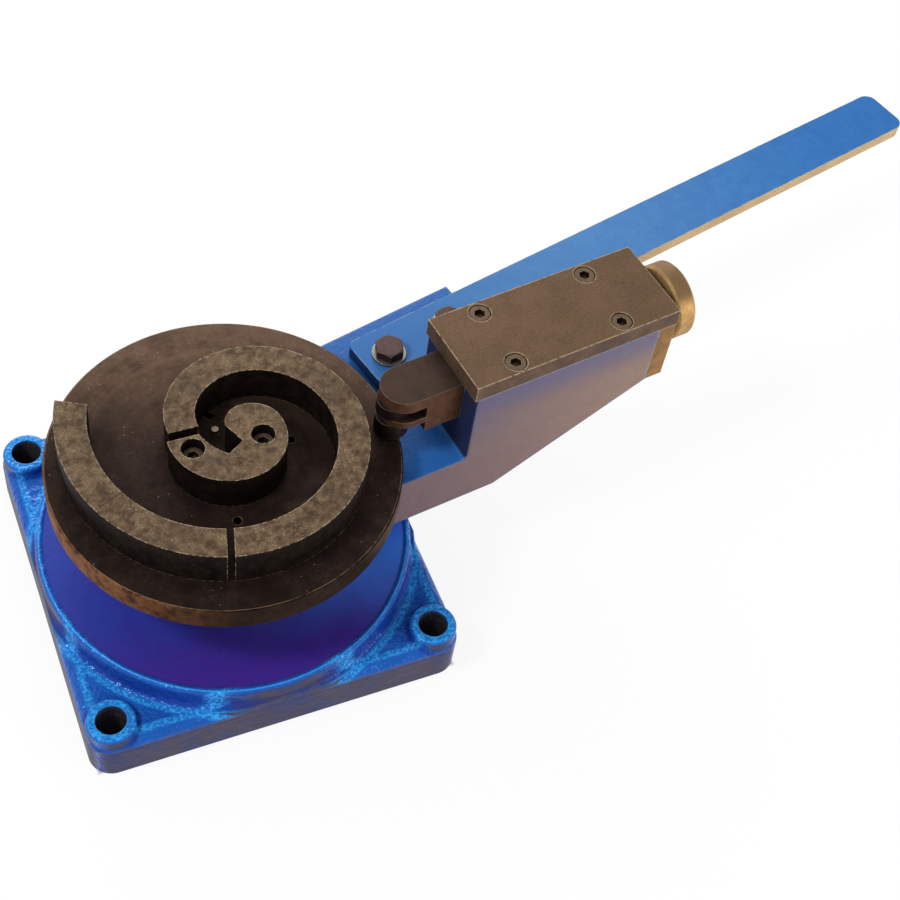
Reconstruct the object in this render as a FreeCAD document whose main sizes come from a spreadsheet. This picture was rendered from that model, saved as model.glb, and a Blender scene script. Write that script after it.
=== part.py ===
import FreeCAD, Part
import math
import os
import Sketcher

# Scroll bender for flat bar: base with a fixed disc and a three-piece scroll former, and an arm
# that swings about the post with a spring-loaded roller ram, an adjusting knob and a bar handle.
# Millimetres. Origin: centre of the bolt pattern on the underside, Z up along the post.

V = FreeCAD.Vector
UP = V(0, 0, 1)

# Driving dimensions, in groups by piece
SIZES = {
    # base casting
    "base_margin": 0.5,
    "base_corner": 14.0,
    "base_edge": 29.0,
    "base_edge_round": 7.0,
    "table_radius": 110.5,
    "table_top": 43.0,
    "table_round": 2.5,
    "table_foot": 4.0,
    "bolt_inset": 15.0,
    "bolt_hole": 8.75,
    "boss_radius": 14.0,
    "boss_height": 6.0,
    "boss_round": 2.0,
    "cavity_radius": 92.0,
    "cavity_roof": 14.0,
    "rib_width": 12.0,
    "hub_radius": 34.0,
    "hub_face": 20.0,
    "nut_seat_room": 4.0,
    # pivot post and what holds it down
    "post_radius": 28.0,
    "post_spigot": 15.0,
    "post_thread": 12.0,
    "post_end": 3.0,
    "post_washer_radius": 22.0,
    "post_washer_thick": 4.0,
    "post_nut_flats": 36.0,
    "post_nut_thick": 12.0,
    "post_dowel_radius": 3.0,
    "post_dowel_place": 21.5,
    "post_dowel_length": 16.0,
    "centring_radius": 12.5,
    "centring_height": 7.5,
    "tapped_depth": 20.0,
    # arm bearing
    "bush_radius": 33.0,
    "thrust_thick": 3.0,
    "thrust_radius": 42.0,
    "axial_play": 0.1,
    "running_play": 0.04,
    # disc and former
    "disc_bottom": 98.0,
    "disc_thick": 16.0,
    "disc_radius": 100.0,
    "disc_chamfer": 0.8,
    "former_height": 24.0,
    "pole_x": 9.2,
    "pole_y": 2.55,
    "spiral_radius": 67.9,
    "spiral_pitch": 59.65,
    "former_wall": 17.9,
    "former_tip_angle": 207.0,
    "slot_low": 3.2,
    "slot_width": 5.3,
    "slit_angle": 254.6,
    "slit_width": 3.8,
    "former_dowel_radius": 4.0,
    "former_dowel_seat": 10.0,
    "stop_pin_radius": 2.0,
    "stop_pin_x": -0.3,
    "stop_pin_y": 18.5,
    "stop_pin_proud": 4.0,
    "spare_hole": 2.5,
    # core segment
    "core_x": 2.5,
    "core_y": 1.2,
    "core_tail_radius": 34.6,
    "core_side_radius": 29.0,
    "core_head_radius": 18.1,
    "core_nose_radius": 12.6,
    "core_side_angle": -73.8,
    "core_head_angle": 10.5,
    "core_nose_angle": 100.7,
    "core_mouth_angle": 172.7,
    "notch_right_x": 7.3,
    "notch_right_y": -8.3,
    "notch_left_x": -2.6,
    "notch_left_y": -14.4,
    "notch_bulge": 1.5,
    "core_tail_inner": -14.2,
    "core_screw_x": -20.0,
    "core_screw_y": -5.2,
    "core_screw_far_x": 19.3,
    "core_screw_far_y": -7.2,
    "core_screw_sink": 7.0,
    # arm casting
    "arm_angle": 7.8,
    "handle_splay": 6.42,
    "slide_offset": 20.7,
    "arm_bottom": 57.0,
    "arm_top": 95.5,
    "arm_flat": 155.3,
    "housing_width": 56.1,
    "housing_front": 131.5,
    "housing_back": 257.0,
    "housing_top": 150.3,
    "housing_heel": 104.8,
    "floor_round": 4.0,
    "wing_back": 53.6,
    "wing_end": 196.0,
    "wing_thick": 22.0,
    "wing_shoulder": 92.0,
    "arm_edge_round": 1.5,
    # cover plate
    "cover_thick": 11.7,
    "cover_lip": 1.6,
    "cover_screw_first": 159.5,
    "cover_screw_pitch": 72.5,
    "cover_screw_gauge": 40.0,
    # ram
    "ram_width": 28.0,
    "ram_play": 0.05,
    "ram_height": 30.0,
    "ram_tip": 86.0,
    "ram_tail": 190.0,
    "fork_end": 108.0,
    "fork_upper": 8.7,
    "fork_slot": 8.7,
    "fork_lower": 4.8,
    "roller_centre": 94.1,
    "roller_radius": 10.0,
    "lower_roller": 12.4,
    "pin_radius": 5.0,
    "pin_seat": 4.5,
    "clip_radius": 7.2,
    "clip_thick": 1.0,
    "clip_lift": 0.6,
    "groove_depth": 1.0,
    "spring_bore": 10.6,
    "spring_bore_depth": 20.0,
    # adjuster
    "axis_level": 136.0,
    "spring_radius": 10.0,
    "spring_wire": 3.0,
    "spring_turns": 8.0,
    "seat_face": 233.0,
    "seat_thick": 10.0,
    "screw_radius": 6.0,
    "screw_tip": 224.0,
    "screw_flange": 11.0,
    "screw_flange_thick": 5.0,
    "journal_radius": 7.0,
    "end_plate_thick": 12.0,
    "end_plate_drop": 0.2,
    "end_screw_upper": 7.0,
    "end_screw_lower": 8.0,
    "collar_radius": 15.0,
    "collar_thick": 7.6,
    "knob_radius": 23.7,
    "knob_thick": 13.0,
    "knob_edge": 1.5,
    "knob_web": 1.0,
    # handle
    "handle_start": 110.7,
    "handle_length": 458.6,
    "handle_near": 3.4,
    "handle_width": 37.4,
    "handle_thick": 8.5,
    "handle_corner": 8.0,
    "handle_inner_corner": 5.0,
    "handle_bolt_inset": 17.0,
    "handle_bolt_pitch": 45.0,
    "handle_bolt_side": 17.2,
    # fasteners
    "large_screw": 4.0,
    "large_head": 6.3,
    "large_head_height": 8.0,
    "large_socket": 6.0,
    "small_screw": 3.0,
    "small_head": 5.0,
    "small_head_height": 6.0,
    "small_socket": 5.0,
    "head_play": 0.35,
    "head_edge": 0.4,
    "screw_end_room": 2.0,
    "bolt_radius": 5.0,
    "bolt_flats": 16.0,
    "bolt_head": 6.4,
    "bolt_crown": 7.5,
    "bolt_crown_drop": 4.2,
    "bolt_end_room": 3.2,
    "bolt_washer": 10.3,
    "bolt_washer_thick": 2.0,
    "hole_play": 0.4,
    "fit_play": 0.02,
}

doc = FreeCAD.newDocument("ScrollBender")
sheet = doc.addObject("Spreadsheet::Sheet", "Sizes")
for row, (alias, number) in enumerate(SIZES.items(), start=1):
    sheet.set("A%d" % row, alias)
    sheet.set("B%d" % row, str(number))
    sheet.setAlias("B%d" % row, alias)
doc.recompute()


class Size:
    """A number together with the sheet formula that it comes from."""

    def __init__(self, number, formula=None):
        self.number = float(number)
        self.formula = formula or repr(float(number))

    def __float__(self):
        return self.number

    def __add__(self, other):
        other = as_size(other)
        return Size(self.number + other.number, "(%s + %s)" % (self.formula, other.formula))

    def __sub__(self, other):
        other = as_size(other)
        return Size(self.number - other.number, "(%s - %s)" % (self.formula, other.formula))

    def __mul__(self, other):
        other = as_size(other)
        return Size(self.number * other.number, "(%s * %s)" % (self.formula, other.formula))

    def __truediv__(self, other):
        other = as_size(other)
        return Size(self.number / other.number, "(%s / %s)" % (self.formula, other.formula))

    def __neg__(self):
        return Size(-self.number, "(0 - %s)" % self.formula)


def as_size(value):
    return value if isinstance(value, Size) else Size(value)


class SheetSizes:
    """Gives each cell of the sheet by its alias."""

    def __getattr__(self, alias):
        return Size(sheet.get(alias), "Sizes.%s" % alias)


s = SheetSizes()

# Levels and places that follow from the driving dimensions
base_side = (s.table_radius + s.base_margin) * 2
bolt_spacing = base_side - s.bolt_inset * 2
disc_top = s.disc_bottom + s.disc_thick
former_top = disc_top + s.former_height
hub_bottom = s.table_top + s.thrust_thick
slide_y = -s.slide_offset
near_y = slide_y - s.housing_width / 2
far_y = slide_y + s.housing_width / 2
ram_top = s.housing_top - s.ram_play
ram_bottom = ram_top - s.ram_height
channel_floor = ram_bottom - s.ram_play
channel_half = s.ram_width / 2 + s.ram_play
slot_top = ram_top - s.fork_upper
slot_bottom = slot_top - s.fork_slot
fork_bottom = slot_bottom - s.fork_lower
roller_bottom = fork_bottom - s.axial_play - s.lower_roller
end_face = s.housing_back + s.end_plate_thick
cover_front = s.housing_front - s.cover_lip
knob_face = end_face + s.axial_play + s.collar_thick
handle_far = s.handle_near + s.handle_width
handle_end = s.handle_start + s.handle_length
handle_top = s.arm_top + s.handle_thick
bolt_y = s.handle_near + s.handle_bolt_side
cover_top = s.housing_top + s.cover_thick
bush_bore = s.post_radius + s.running_play
core_screw_seat = former_top - s.core_screw_sink - s.large_head_height

# Turns about Z that carry the arm's pieces and the handle's pieces
ARM_TURN = FreeCAD.Placement(V(0, 0, 0), FreeCAD.Rotation(UP, float(s.arm_angle)))
HANDLE_TURN = FreeCAD.Placement(V(0, 0, 0), FreeCAD.Rotation(UP, float(s.arm_angle + s.handle_splay)))
AT_REST = FreeCAD.Placement()

nodes = []


def keep(item, label, placement=AT_REST):
    """Names a finished sub-part and sets it in its place."""
    item.Label = label
    item.Placement = placement
    nodes.append(item)
    return item


# Sketch helpers

def new_body(name):
    return doc.addObject("PartDesign::Body", name)


def origin_plane(body, role):
    for item in body.Origin.OriginFeatures:
        if item.Role == role:
            return item
    raise ValueError("no plane " + role)


def new_sketch(body, name, role="XY_Plane", offset=0.0, turn=None):
    """Sketch on an origin plane, moved along the plane's normal and turned about it."""
    sketch = body.newObject("Sketcher::SketchObject", name)
    sketch.AttachmentSupport = (origin_plane(body, role), [""])
    sketch.MapMode = "FlatFace"
    offset = as_size(offset)
    turn = as_size(turn or 0.0)
    sketch.AttachmentOffset = FreeCAD.Placement(V(0, 0, float(offset)), FreeCAD.Rotation(UP, float(turn)))
    sketch.setExpression("AttachmentOffset.Base.z", offset.formula)
    if float(turn):
        sketch.setExpression("AttachmentOffset.Rotation.Angle", turn.formula)
    return sketch


def tie(sketch, kind, geometry, vertex, value):
    """Binds one coordinate of a sketch point to the sheet."""
    value = as_size(value)
    index = sketch.addConstraint(Sketcher.Constraint(kind, -1, 1, geometry, vertex, float(value)))
    sketch.setExpression("Constraints[%d]" % index, value.formula)


def polygon(sketch, corners):
    """Closed outline of straight sides through corners bound to the sheet."""
    first = sketch.GeometryCount
    places = [V(float(x), float(y), 0) for x, y in corners]
    count = len(places)
    for i in range(count):
        sketch.addGeometry(Part.LineSegment(places[i], places[(i + 1) % count]), False)
    for i in range(count):
        following = first + (i + 1) % count
        sketch.addConstraint(Sketcher.Constraint("Coincident", first + i, 2, following, 1))
    for i, (x, y) in enumerate(corners):
        tie(sketch, "DistanceX", first + i, 1, x)
        tie(sketch, "DistanceY", first + i, 1, y)


def rectangle(sketch, x0, y0, x1, y1):
    polygon(sketch, [(x0, y0), (x1, y0), (x1, y1), (x0, y1)])


def hexagon(sketch, x, y, flats):
    """Regular hexagon, two corners on the line through its centre along the sketch's X axis."""
    corner = as_size(flats) / math.sqrt(3.0)
    half = corner / 2
    side = as_size(flats) / 2
    x = as_size(x)
    y = as_size(y)
    polygon(sketch, [(x + corner, y), (x + half, y + side), (x - half, y + side),
                     (x - corner, y), (x - half, y - side), (x + half, y - side)])


def circle(sketch, x, y, radius):
    radius = as_size(radius)
    place = V(float(x), float(y), 0)
    index = sketch.addGeometry(Part.Circle(place, UP, float(radius)), False)
    tie(sketch, "DistanceX", index, 3, x)
    tie(sketch, "DistanceY", index, 3, y)
    bound = sketch.addConstraint(Sketcher.Constraint("Radius", index, float(radius)))
    sketch.setExpression("Constraints[%d]" % bound, radius.formula)


# Feature helpers

def pad(body, sketch, name, length, back=False):
    feature = body.newObject("PartDesign::Pad", name)
    feature.Profile = sketch
    feature.setExpression("Length", as_size(length).formula)
    feature.Reversed = back
    return feature


def pocket(body, sketch, name, length, back=False):
    feature = body.newObject("PartDesign::Pocket", name)
    feature.Profile = sketch
    feature.setExpression("Length", as_size(length).formula)
    feature.Reversed = back
    return feature


def revolve(body, sketch, name):
    feature = body.newObject("PartDesign::Revolution", name)
    feature.Profile = sketch
    feature.ReferenceAxis = (sketch, ["V_Axis"])
    feature.Angle = 360.0
    return feature


def edges(body, test):
    doc.recompute()
    return ["Edge%d" % (i + 1) for i, edge in enumerate(body.Tip.Shape.Edges) if test(edge)]


def fillet(body, name, radius, test):
    names = edges(body, test)
    feature = body.newObject("PartDesign::Fillet", name)
    feature.Base = (body.BaseFeature or feature.BaseFeature, names)
    feature.setExpression("Radius", as_size(radius).formula)
    return feature


def chamfer(body, name, width, test):
    names = edges(body, test)
    feature = body.newObject("PartDesign::Chamfer", name)
    feature.Base = (body.BaseFeature or feature.BaseFeature, names)
    feature.setExpression("Size", as_size(width).formula)
    return feature


def upright(edge):
    """A straight edge along Z."""
    ends = [v.Point for v in edge.Vertexes]
    return len(ends) == 2 and abs((ends[1] - ends[0]).normalize().z) > 0.999


def at_level(level):
    """A test for edges that lie whole in the plane z = level."""
    level = float(level)

    def test(edge):
        box = edge.BoundBox
        return abs(box.ZMin - level) < 1e-4 and abs(box.ZMax - level) < 1e-4
    return test


def turned(label, profile, holes=(), placement=AT_REST):
    """A piece turned about Z from (radius, level) corners, with round holes (x, y, r, top, depth)."""
    body = new_body(label)
    sketch = new_sketch(body, label + "_profile", "XZ_Plane")
    polygon(sketch, profile)
    revolve(body, sketch, label + "_turn")
    for i, (x, y, radius, top, depth) in enumerate(holes):
        spot = new_sketch(body, "%s_spot_%d" % (label, i), "XY_Plane", top)
        circle(spot, x, y, radius)
        pocket(body, spot, "%s_hole_%d" % (label, i), depth)
    return keep(body, label, placement)


def ring(label, inner, outer, low, high, placement=AT_REST, x=0.0, y=0.0):
    """A flat washer or tube about a vertical axis."""
    body = new_body(label)
    sketch = new_sketch(body, label + "_outline", "XY_Plane", low)
    circle(sketch, x, y, outer)
    circle(sketch, x, y, inner)
    pad(body, sketch, label + "_pad", as_size(high) - low)
    return keep(body, label, placement)


def cap_screw(name, radius, length, head, head_height, socket):
    """A socket head screw with its head's underside at z = 0, shank down."""
    body = new_body(name)
    sketch = new_sketch(body, name + "_profile", "XZ_Plane")
    polygon(sketch, [(0.0, -length), (radius, -length), (radius, 0.0), (head, 0.0),
                     (head, head_height), (0.0, head_height)])
    revolve(body, sketch, name + "_turn")
    key = new_sketch(body, name + "_key", "XY_Plane", head_height)
    hexagon(key, 0.0, 0.0, socket)
    pocket(body, key, name + "_socket", as_size(head_height) / 2)
    chamfer(body, name + "_edge", s.head_edge,
            lambda edge: at_level(head_height)(edge) and len(edge.Vertexes) == 1)
    doc.recompute()
    return body


def group(label, body, places, placement=AT_REST):
    """Equal fasteners of one kind as separate solids under one name."""
    copies = []
    for place in places:
        copy = body.Shape.copy()
        copy.Placement = place.multiply(copy.Placement)
        copies.append(copy)
    item = doc.addObject("Part::Feature", label)
    item.Shape = Part.makeCompound(copies)
    return keep(item, label, placement)


def at(x, y, z):
    return FreeCAD.Placement(V(float(x), float(y), float(z)), FreeCAD.Rotation())


def solid(label, shape, placement=AT_REST):
    item = doc.addObject("Part::Feature", label)
    item.Shape = shape
    return keep(item, label, placement)


# Base casting: plate, round table, bolt bosses, cored underside with four ribs

def base_casting():
    body = new_body("base_casting")
    half = base_side / 2
    outline = new_sketch(body, "plate_outline")
    rectangle(outline, -half, -half, half, half)
    pad(body, outline, "plate", s.base_edge)
    fillet(body, "plate_corners", s.base_corner, upright)
    fillet(body, "plate_edge", s.base_edge_round, at_level(s.base_edge))
    table_profile(body)
    fillet(body, "table_edge", s.table_round, at_level(s.table_top))
    trim_table(body)
    bosses = new_sketch(body, "boss_outline", "XY_Plane", s.hub_face)
    reach = bolt_spacing / 2
    corners = [(-reach, -reach), (reach, -reach), (reach, reach), (-reach, reach)]
    for x, y in corners:
        circle(bosses, x, y, s.boss_radius)
    pad(body, bosses, "bosses", s.base_edge + s.boss_height - s.hub_face)
    fillet(body, "boss_edge", s.boss_round, at_level(s.base_edge + s.boss_height))
    holes = new_sketch(body, "bolt_holes")
    for x, y in corners:
        circle(holes, x, y, s.bolt_hole)
    pocket(body, holes, "bolt_hole_cut", s.table_top, back=True)
    underside(body)
    return keep(body, "base_casting")


def table_profile(body):
    """Round table with a hollow fillet at its foot."""
    radius = s.table_radius
    foot = radius + s.table_foot
    sketch = new_sketch(body, "table_profile", "XZ_Plane")
    low = s.base_edge - s.table_foot
    corners = [(Size(0), low), (foot, low), (foot, s.base_edge), (radius, s.base_edge + s.table_foot),
               (radius, s.table_top), (Size(0), s.table_top)]
    places = [V(float(x), float(y), 0) for x, y in corners]
    for i in (0, 1, 3, 4, 5):
        sketch.addGeometry(Part.LineSegment(places[i], places[(i + 1) % 6]), False)
    centre = V(float(foot), float(s.base_edge + s.table_foot), 0)
    hollow = Part.ArcOfCircle(Part.Circle(centre, UP, float(s.table_foot)), math.pi, math.pi * 1.5)
    arc = sketch.addGeometry(hollow, False)
    for first, second in ((0, 1), (2, 3), (3, 4), (4, 0)):
        sketch.addConstraint(Sketcher.Constraint("Coincident", first, 2, second, 1))
    sketch.addConstraint(Sketcher.Constraint("Coincident", 1, 2, arc, 2))
    sketch.addConstraint(Sketcher.Constraint("Coincident", 2, 1, arc, 1))
    for geometry, corner in ((0, 0), (1, 1), (3, 4), (4, 5)):
        tie(sketch, "DistanceX", geometry, 1, corners[corner][0])
        tie(sketch, "DistanceY", geometry, 1, corners[corner][1])
    tie(sketch, "DistanceX", arc, 3, foot)
    tie(sketch, "DistanceY", arc, 3, s.base_edge + s.table_foot)
    tie(sketch, "DistanceY", arc, 1, s.base_edge + s.table_foot)
    tie(sketch, "DistanceX", arc, 2, foot)
    bound = sketch.addConstraint(Sketcher.Constraint("Radius", arc, float(s.table_foot)))
    sketch.setExpression("Constraints[%d]" % bound, s.table_foot.formula)
    revolve(body, sketch, "table")


def trim_table(body):
    """Cuts the table's foot flush with the sides of the plate."""
    half = base_side / 2
    far = half + s.base_corner
    sketch = new_sketch(body, "trim_outline", "XY_Plane", s.table_top)
    rectangle(sketch, -far, -far, far, far)
    rectangle(sketch, -half, -half, half, half)
    pocket(body, sketch, "trim", s.table_top)


def underside(body):
    """Four cored pockets between ribs, the post's bore, its nut seat and the dowel hole."""
    core = new_sketch(body, "core_pocket")
    rib = float(s.rib_width) / 2
    inner = float(s.hub_radius)
    outer = float(s.cavity_radius)
    origin = V(0, 0, 0)
    low = math.asin(rib / outer)
    tight = math.asin(rib / inner)
    right = math.pi / 2
    core.addGeometry(Part.ArcOfCircle(Part.Circle(origin, UP, outer), low, right - low), False)
    core.addGeometry(Part.ArcOfCircle(Part.Circle(origin, UP, inner), tight, right - tight), False)
    core.addGeometry(Part.LineSegment(V(inner * math.cos(tight), rib, 0), V(outer * math.cos(low), rib, 0)), False)
    core.addGeometry(Part.LineSegment(V(rib, inner * math.cos(tight), 0), V(rib, outer * math.cos(low), 0)), False)
    for curve in (0, 1):
        core.addConstraint(Sketcher.Constraint("Coincident", curve, 3, -1, 1))
    for line, end, curve, vertex in ((2, 1, 1, 1), (2, 2, 0, 1), (3, 1, 1, 2), (3, 2, 0, 2)):
        core.addConstraint(Sketcher.Constraint("Coincident", line, end, curve, vertex))
    core.addConstraint(Sketcher.Constraint("Horizontal", 2))
    core.addConstraint(Sketcher.Constraint("Vertical", 3))
    for curve, size in ((0, s.cavity_radius), (1, s.hub_radius)):
        bound = core.addConstraint(Sketcher.Constraint("Radius", curve, float(size)))
        core.setExpression("Constraints[%d]" % bound, size.formula)
    tie(core, "DistanceY", 2, 1, s.rib_width / 2)
    tie(core, "DistanceX", 3, 1, s.rib_width / 2)
    cut = pocket(body, core, "core_cut", s.table_top - s.cavity_roof, back=True)
    doc.recompute()
    spread = body.newObject("PartDesign::PolarPattern", "core_cuts")
    spread.Originals = [cut]
    spread.Axis = (core, ["N_Axis"])
    spread.Angle = 360.0
    spread.Occurrences = 4
    body.Tip = spread
    seat = new_sketch(body, "nut_seat")
    circle(seat, 0.0, 0.0, s.hub_radius + s.nut_seat_room)
    pocket(body, seat, "nut_seat_cut", s.hub_face, back=True)
    bore = new_sketch(body, "post_bore")
    circle(bore, 0.0, 0.0, s.post_spigot + s.fit_play)
    pocket(body, bore, "post_bore_cut", s.table_top, back=True)
    dowel = new_sketch(body, "dowel_hole", "XY_Plane", s.table_top)
    circle(dowel, s.post_dowel_place, 0.0, s.post_dowel_radius + s.fit_play)
    pocket(body, dowel, "dowel_hole_cut", s.post_dowel_length / 2)


# Post and its fasteners

def pivot_post():
    top = s.disc_bottom
    profile = [(0.0, s.post_end), (s.post_thread, s.post_end), (s.post_thread, s.hub_face),
               (s.post_spigot, s.hub_face), (s.post_spigot, s.table_top),
               (s.post_radius, s.table_top), (s.post_radius, top), (s.centring_radius, top),
               (s.centring_radius, top + s.centring_height), (0.0, top + s.centring_height)]
    tap = s.large_screw + s.fit_play
    holes = [(s.core_screw_x, s.core_screw_y, tap, top, s.tapped_depth),
             (s.core_screw_far_x, s.core_screw_far_y, tap, top, s.tapped_depth)]
    body = turned("pivot_post", profile, holes)
    dowel = new_sketch(body, "post_dowel_hole", "XY_Plane", s.table_top)
    circle(dowel, s.post_dowel_place, 0.0, s.post_dowel_radius + s.fit_play)
    pocket(body, dowel, "post_dowel_cut", s.post_dowel_length / 2, back=True)
    return body


def post_dowel():
    low = s.table_top - s.post_dowel_length / 2 + s.axial_play
    pin = doc.addObject("Part::Cylinder", "post_dowel")
    pin.setExpression("Radius", s.post_dowel_radius.formula)
    pin.setExpression("Height", (s.post_dowel_length - s.axial_play * 2).formula)
    return keep(pin, "post_dowel", at(s.post_dowel_place, 0.0, low))


def post_nut():
    top = s.hub_face - s.post_washer_thick
    body = new_body("post_nut")
    sketch = new_sketch(body, "nut_outline", "XY_Plane", top - s.post_nut_thick)
    hexagon(sketch, 0.0, 0.0, s.post_nut_flats)
    circle(sketch, 0.0, 0.0, s.post_thread + s.fit_play)
    pad(body, sketch, "nut_pad", s.post_nut_thick)
    return keep(body, "post_nut")


# Disc with its screw, dowel and spare holes

def spiral(turn, inset=0.0):
    """Point on the former's spiral; turn in degrees, clockwise about the pole."""
    radius = float(s.spiral_radius) + float(s.spiral_pitch) * turn / 360 - inset
    angle = math.radians(-turn)
    return V(float(s.pole_x) + radius * math.cos(angle), float(s.pole_y) + radius * math.sin(angle), 0)


SLOT_SEARCH = (-180.0, -150.0)
SLIT_SEARCH = (70.0, 150.0)
MIDDLE_DOWEL_TURNS = (-60.0, 70.0)
OUTER_DOWEL_TURNS = (130.0, 185.0)
SPARE_HOLES = ((0.2, 31.4), (38.9, 1.3), (-6.6, -42.2))


def dowel_places():
    return [spiral(turn, float(s.former_wall) / 2) for turn in MIDDLE_DOWEL_TURNS + OUTER_DOWEL_TURNS]


def former_disc():
    low = s.disc_bottom
    edge = s.disc_chamfer
    pocket_top = low + s.centring_height + s.axial_play
    seat = s.centring_radius + s.fit_play
    profile = [(seat, low), (s.disc_radius - edge, low), (s.disc_radius, low + edge),
               (s.disc_radius, disc_top - edge), (s.disc_radius - edge, disc_top),
               (0.0, disc_top), (0.0, pocket_top), (seat, pocket_top)]
    clear = s.large_screw + s.hole_play
    holes = [(s.core_screw_x, s.core_screw_y, clear, disc_top, s.disc_thick),
             (s.core_screw_far_x, s.core_screw_far_y, clear, disc_top, s.disc_thick),
             (s.stop_pin_x, s.stop_pin_y, s.stop_pin_radius + s.fit_play, disc_top, s.disc_thick)]
    holes += [(p.x, p.y, s.former_dowel_radius + s.fit_play, disc_top, s.disc_thick) for p in dowel_places()]
    holes += [(x, y, s.spare_hole, disc_top, s.disc_thick) for x, y in SPARE_HOLES]
    return turned("former_disc", profile, holes)


# Former: core, middle and outer segments

def polar(centre, radius, angle):
    """Point at an angle in degrees on a circle."""
    turn = math.radians(angle)
    return centre + V(radius * math.cos(turn), radius * math.sin(turn), 0)


def arc_between(centre, radius, first, last):
    middle = polar(centre, radius, (first + last) / 2)
    return Part.Arc(polar(centre, radius, first), middle, polar(centre, radius, last)).toShape()


def screw_well(x, y, bottom, top):
    """Clearance hole and deep counterbore of a large screw in a piece from bottom to top."""
    low = V(float(x), float(y), float(bottom))
    seat = float(core_screw_seat)
    shank = Part.makeCylinder(float(s.large_screw + s.hole_play), float(top - bottom), low)
    head = Part.makeCylinder(float(s.large_head + s.head_play), float(top) - seat, V(float(x), float(y), seat))
    return shank.fuse(head)


def core_segment():
    """Core: four arcs that tighten towards the nose, a V notch and a straight tail."""
    radii = [float(r) for r in (s.core_tail_radius, s.core_side_radius, s.core_head_radius, s.core_nose_radius)]
    turns = [float(a) for a in (s.core_side_angle, s.core_head_angle, s.core_nose_angle, s.core_mouth_angle)]
    centre = V(float(s.core_x), float(s.core_y), 0)
    tail_y = float(s.slot_low)
    tail_turn = 180.0 - math.degrees(math.asin((tail_y - centre.y) / radii[0])) - 360.0
    tail = polar(centre, radii[0], tail_turn)
    pieces = []
    start = tail_turn
    for i in range(4):
        pieces.append(arc_between(centre, radii[i], start, turns[i]))
        end = polar(centre, radii[i], turns[i])
        if i < 3:
            centre = centre + (end - centre).normalize() * (radii[i] - radii[i + 1])
        start = turns[i]
    right = V(float(s.notch_right_x), float(s.notch_right_y), 0)
    left = V(float(s.notch_left_x), float(s.notch_left_y), 0)
    inner = V(float(s.core_tail_inner), tail_y, 0)
    chord = inner - left
    bulge = (left + inner) / 2 + V(-chord.y, chord.x, 0).normalize() * float(s.notch_bulge)
    pieces.append(Part.LineSegment(end, right).toShape())
    pieces.append(Part.LineSegment(right, left).toShape())
    pieces.append(Part.Arc(left, bulge, inner).toShape())
    pieces.append(Part.LineSegment(inner, tail).toShape())
    shape = extrude(pieces, disc_top, s.former_height)
    shape = shape.cut(screw_well(s.core_screw_x, s.core_screw_y, disc_top, former_top))
    shape = shape.cut(screw_well(s.core_screw_far_x, s.core_screw_far_y, disc_top, former_top))
    return solid("core_segment", shape)


def extrude(pieces, level, height):
    face = Part.Face(Part.Wire(Part.__sortEdges__(pieces)))
    face.translate(V(0, 0, float(level)))
    return face.extrude(V(0, 0, float(height)))


SPIRAL_STEP = 30.0


def spiral_arcs(first, last, inset):
    """The spiral from one turn to another as short arcs of about 30 degrees."""
    count = max(1, round(abs(last - first) / SPIRAL_STEP))
    step = (last - first) / count
    turns = [first + step * i for i in range(count + 1)]
    return [Part.Arc(spiral(a, inset), spiral((a + b) / 2, inset), spiral(b, inset)).toShape()
            for a, b in zip(turns, turns[1:])]


def band(outer_turns, inner_turns):
    """Wall of the former between two turns of the spiral."""
    wall = float(s.former_wall)
    pieces = spiral_arcs(outer_turns[0], outer_turns[1], 0.0)
    pieces.append(Part.LineSegment(spiral(outer_turns[1]), spiral(inner_turns[1], wall)).toShape())
    pieces += spiral_arcs(inner_turns[1], inner_turns[0], wall)
    pieces.append(Part.LineSegment(spiral(inner_turns[0], wall), spiral(outer_turns[0])).toShape())
    return extrude(pieces, disc_top, s.former_height)


def turn_where(test, low, high):
    """Turn between low and high at which a test changes sign."""
    for step in range(40):
        middle = (low + high) / 2
        if (test(low) < 0) == (test(middle) < 0):
            low = middle
        else:
            high = middle
    return (low + high) / 2


def slot_turn(inset):
    """Turn at which the spiral meets the upper side of the strip slot."""
    level = float(s.slot_low + s.slot_width)
    return turn_where(lambda turn: spiral(turn, inset).y - level, *SLOT_SEARCH)


def slit_turn(inset, side):
    """Turn at which the spiral meets one side of the radial slit between the two segments."""
    angle = math.radians(float(s.slit_angle))
    across = V(-math.sin(angle), math.cos(angle), 0)
    edge = float(s.slit_width) / 2 * side
    return turn_where(lambda turn: spiral(turn, inset).dot(across) - edge, *SLIT_SEARCH)


def middle_segment():
    wall = float(s.former_wall)
    outer = (slot_turn(0.0), slit_turn(0.0, 1))
    inner = (slot_turn(wall), slit_turn(wall, 1))
    return solid("middle_segment", dowelled(band(outer, inner), MIDDLE_DOWEL_TURNS))


def outer_segment():
    wall = float(s.former_wall)
    tip = float(s.former_tip_angle)
    shape = band((slit_turn(0.0, -1), tip), (slit_turn(wall, -1), tip))
    return solid("outer_segment", dowelled(shape, OUTER_DOWEL_TURNS))


def dowelled(shape, turns):
    """Blind dowel holes in the underside of a segment."""
    radius = float(s.former_dowel_radius + s.fit_play)
    for turn in turns:
        place = spiral(turn, float(s.former_wall) / 2)
        place.z = float(disc_top)
        shape = shape.cut(Part.makeCylinder(radius, float(s.former_dowel_seat), place))
    return shape


def segment_dowels():
    low = float(s.disc_bottom + s.axial_play)
    height = float(s.disc_thick + s.former_dowel_seat - s.axial_play * 2)
    pins = [Part.makeCylinder(float(s.former_dowel_radius), height, V(p.x, p.y, low)) for p in dowel_places()]
    return solid("segment_dowels", Part.makeCompound(pins))


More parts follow.
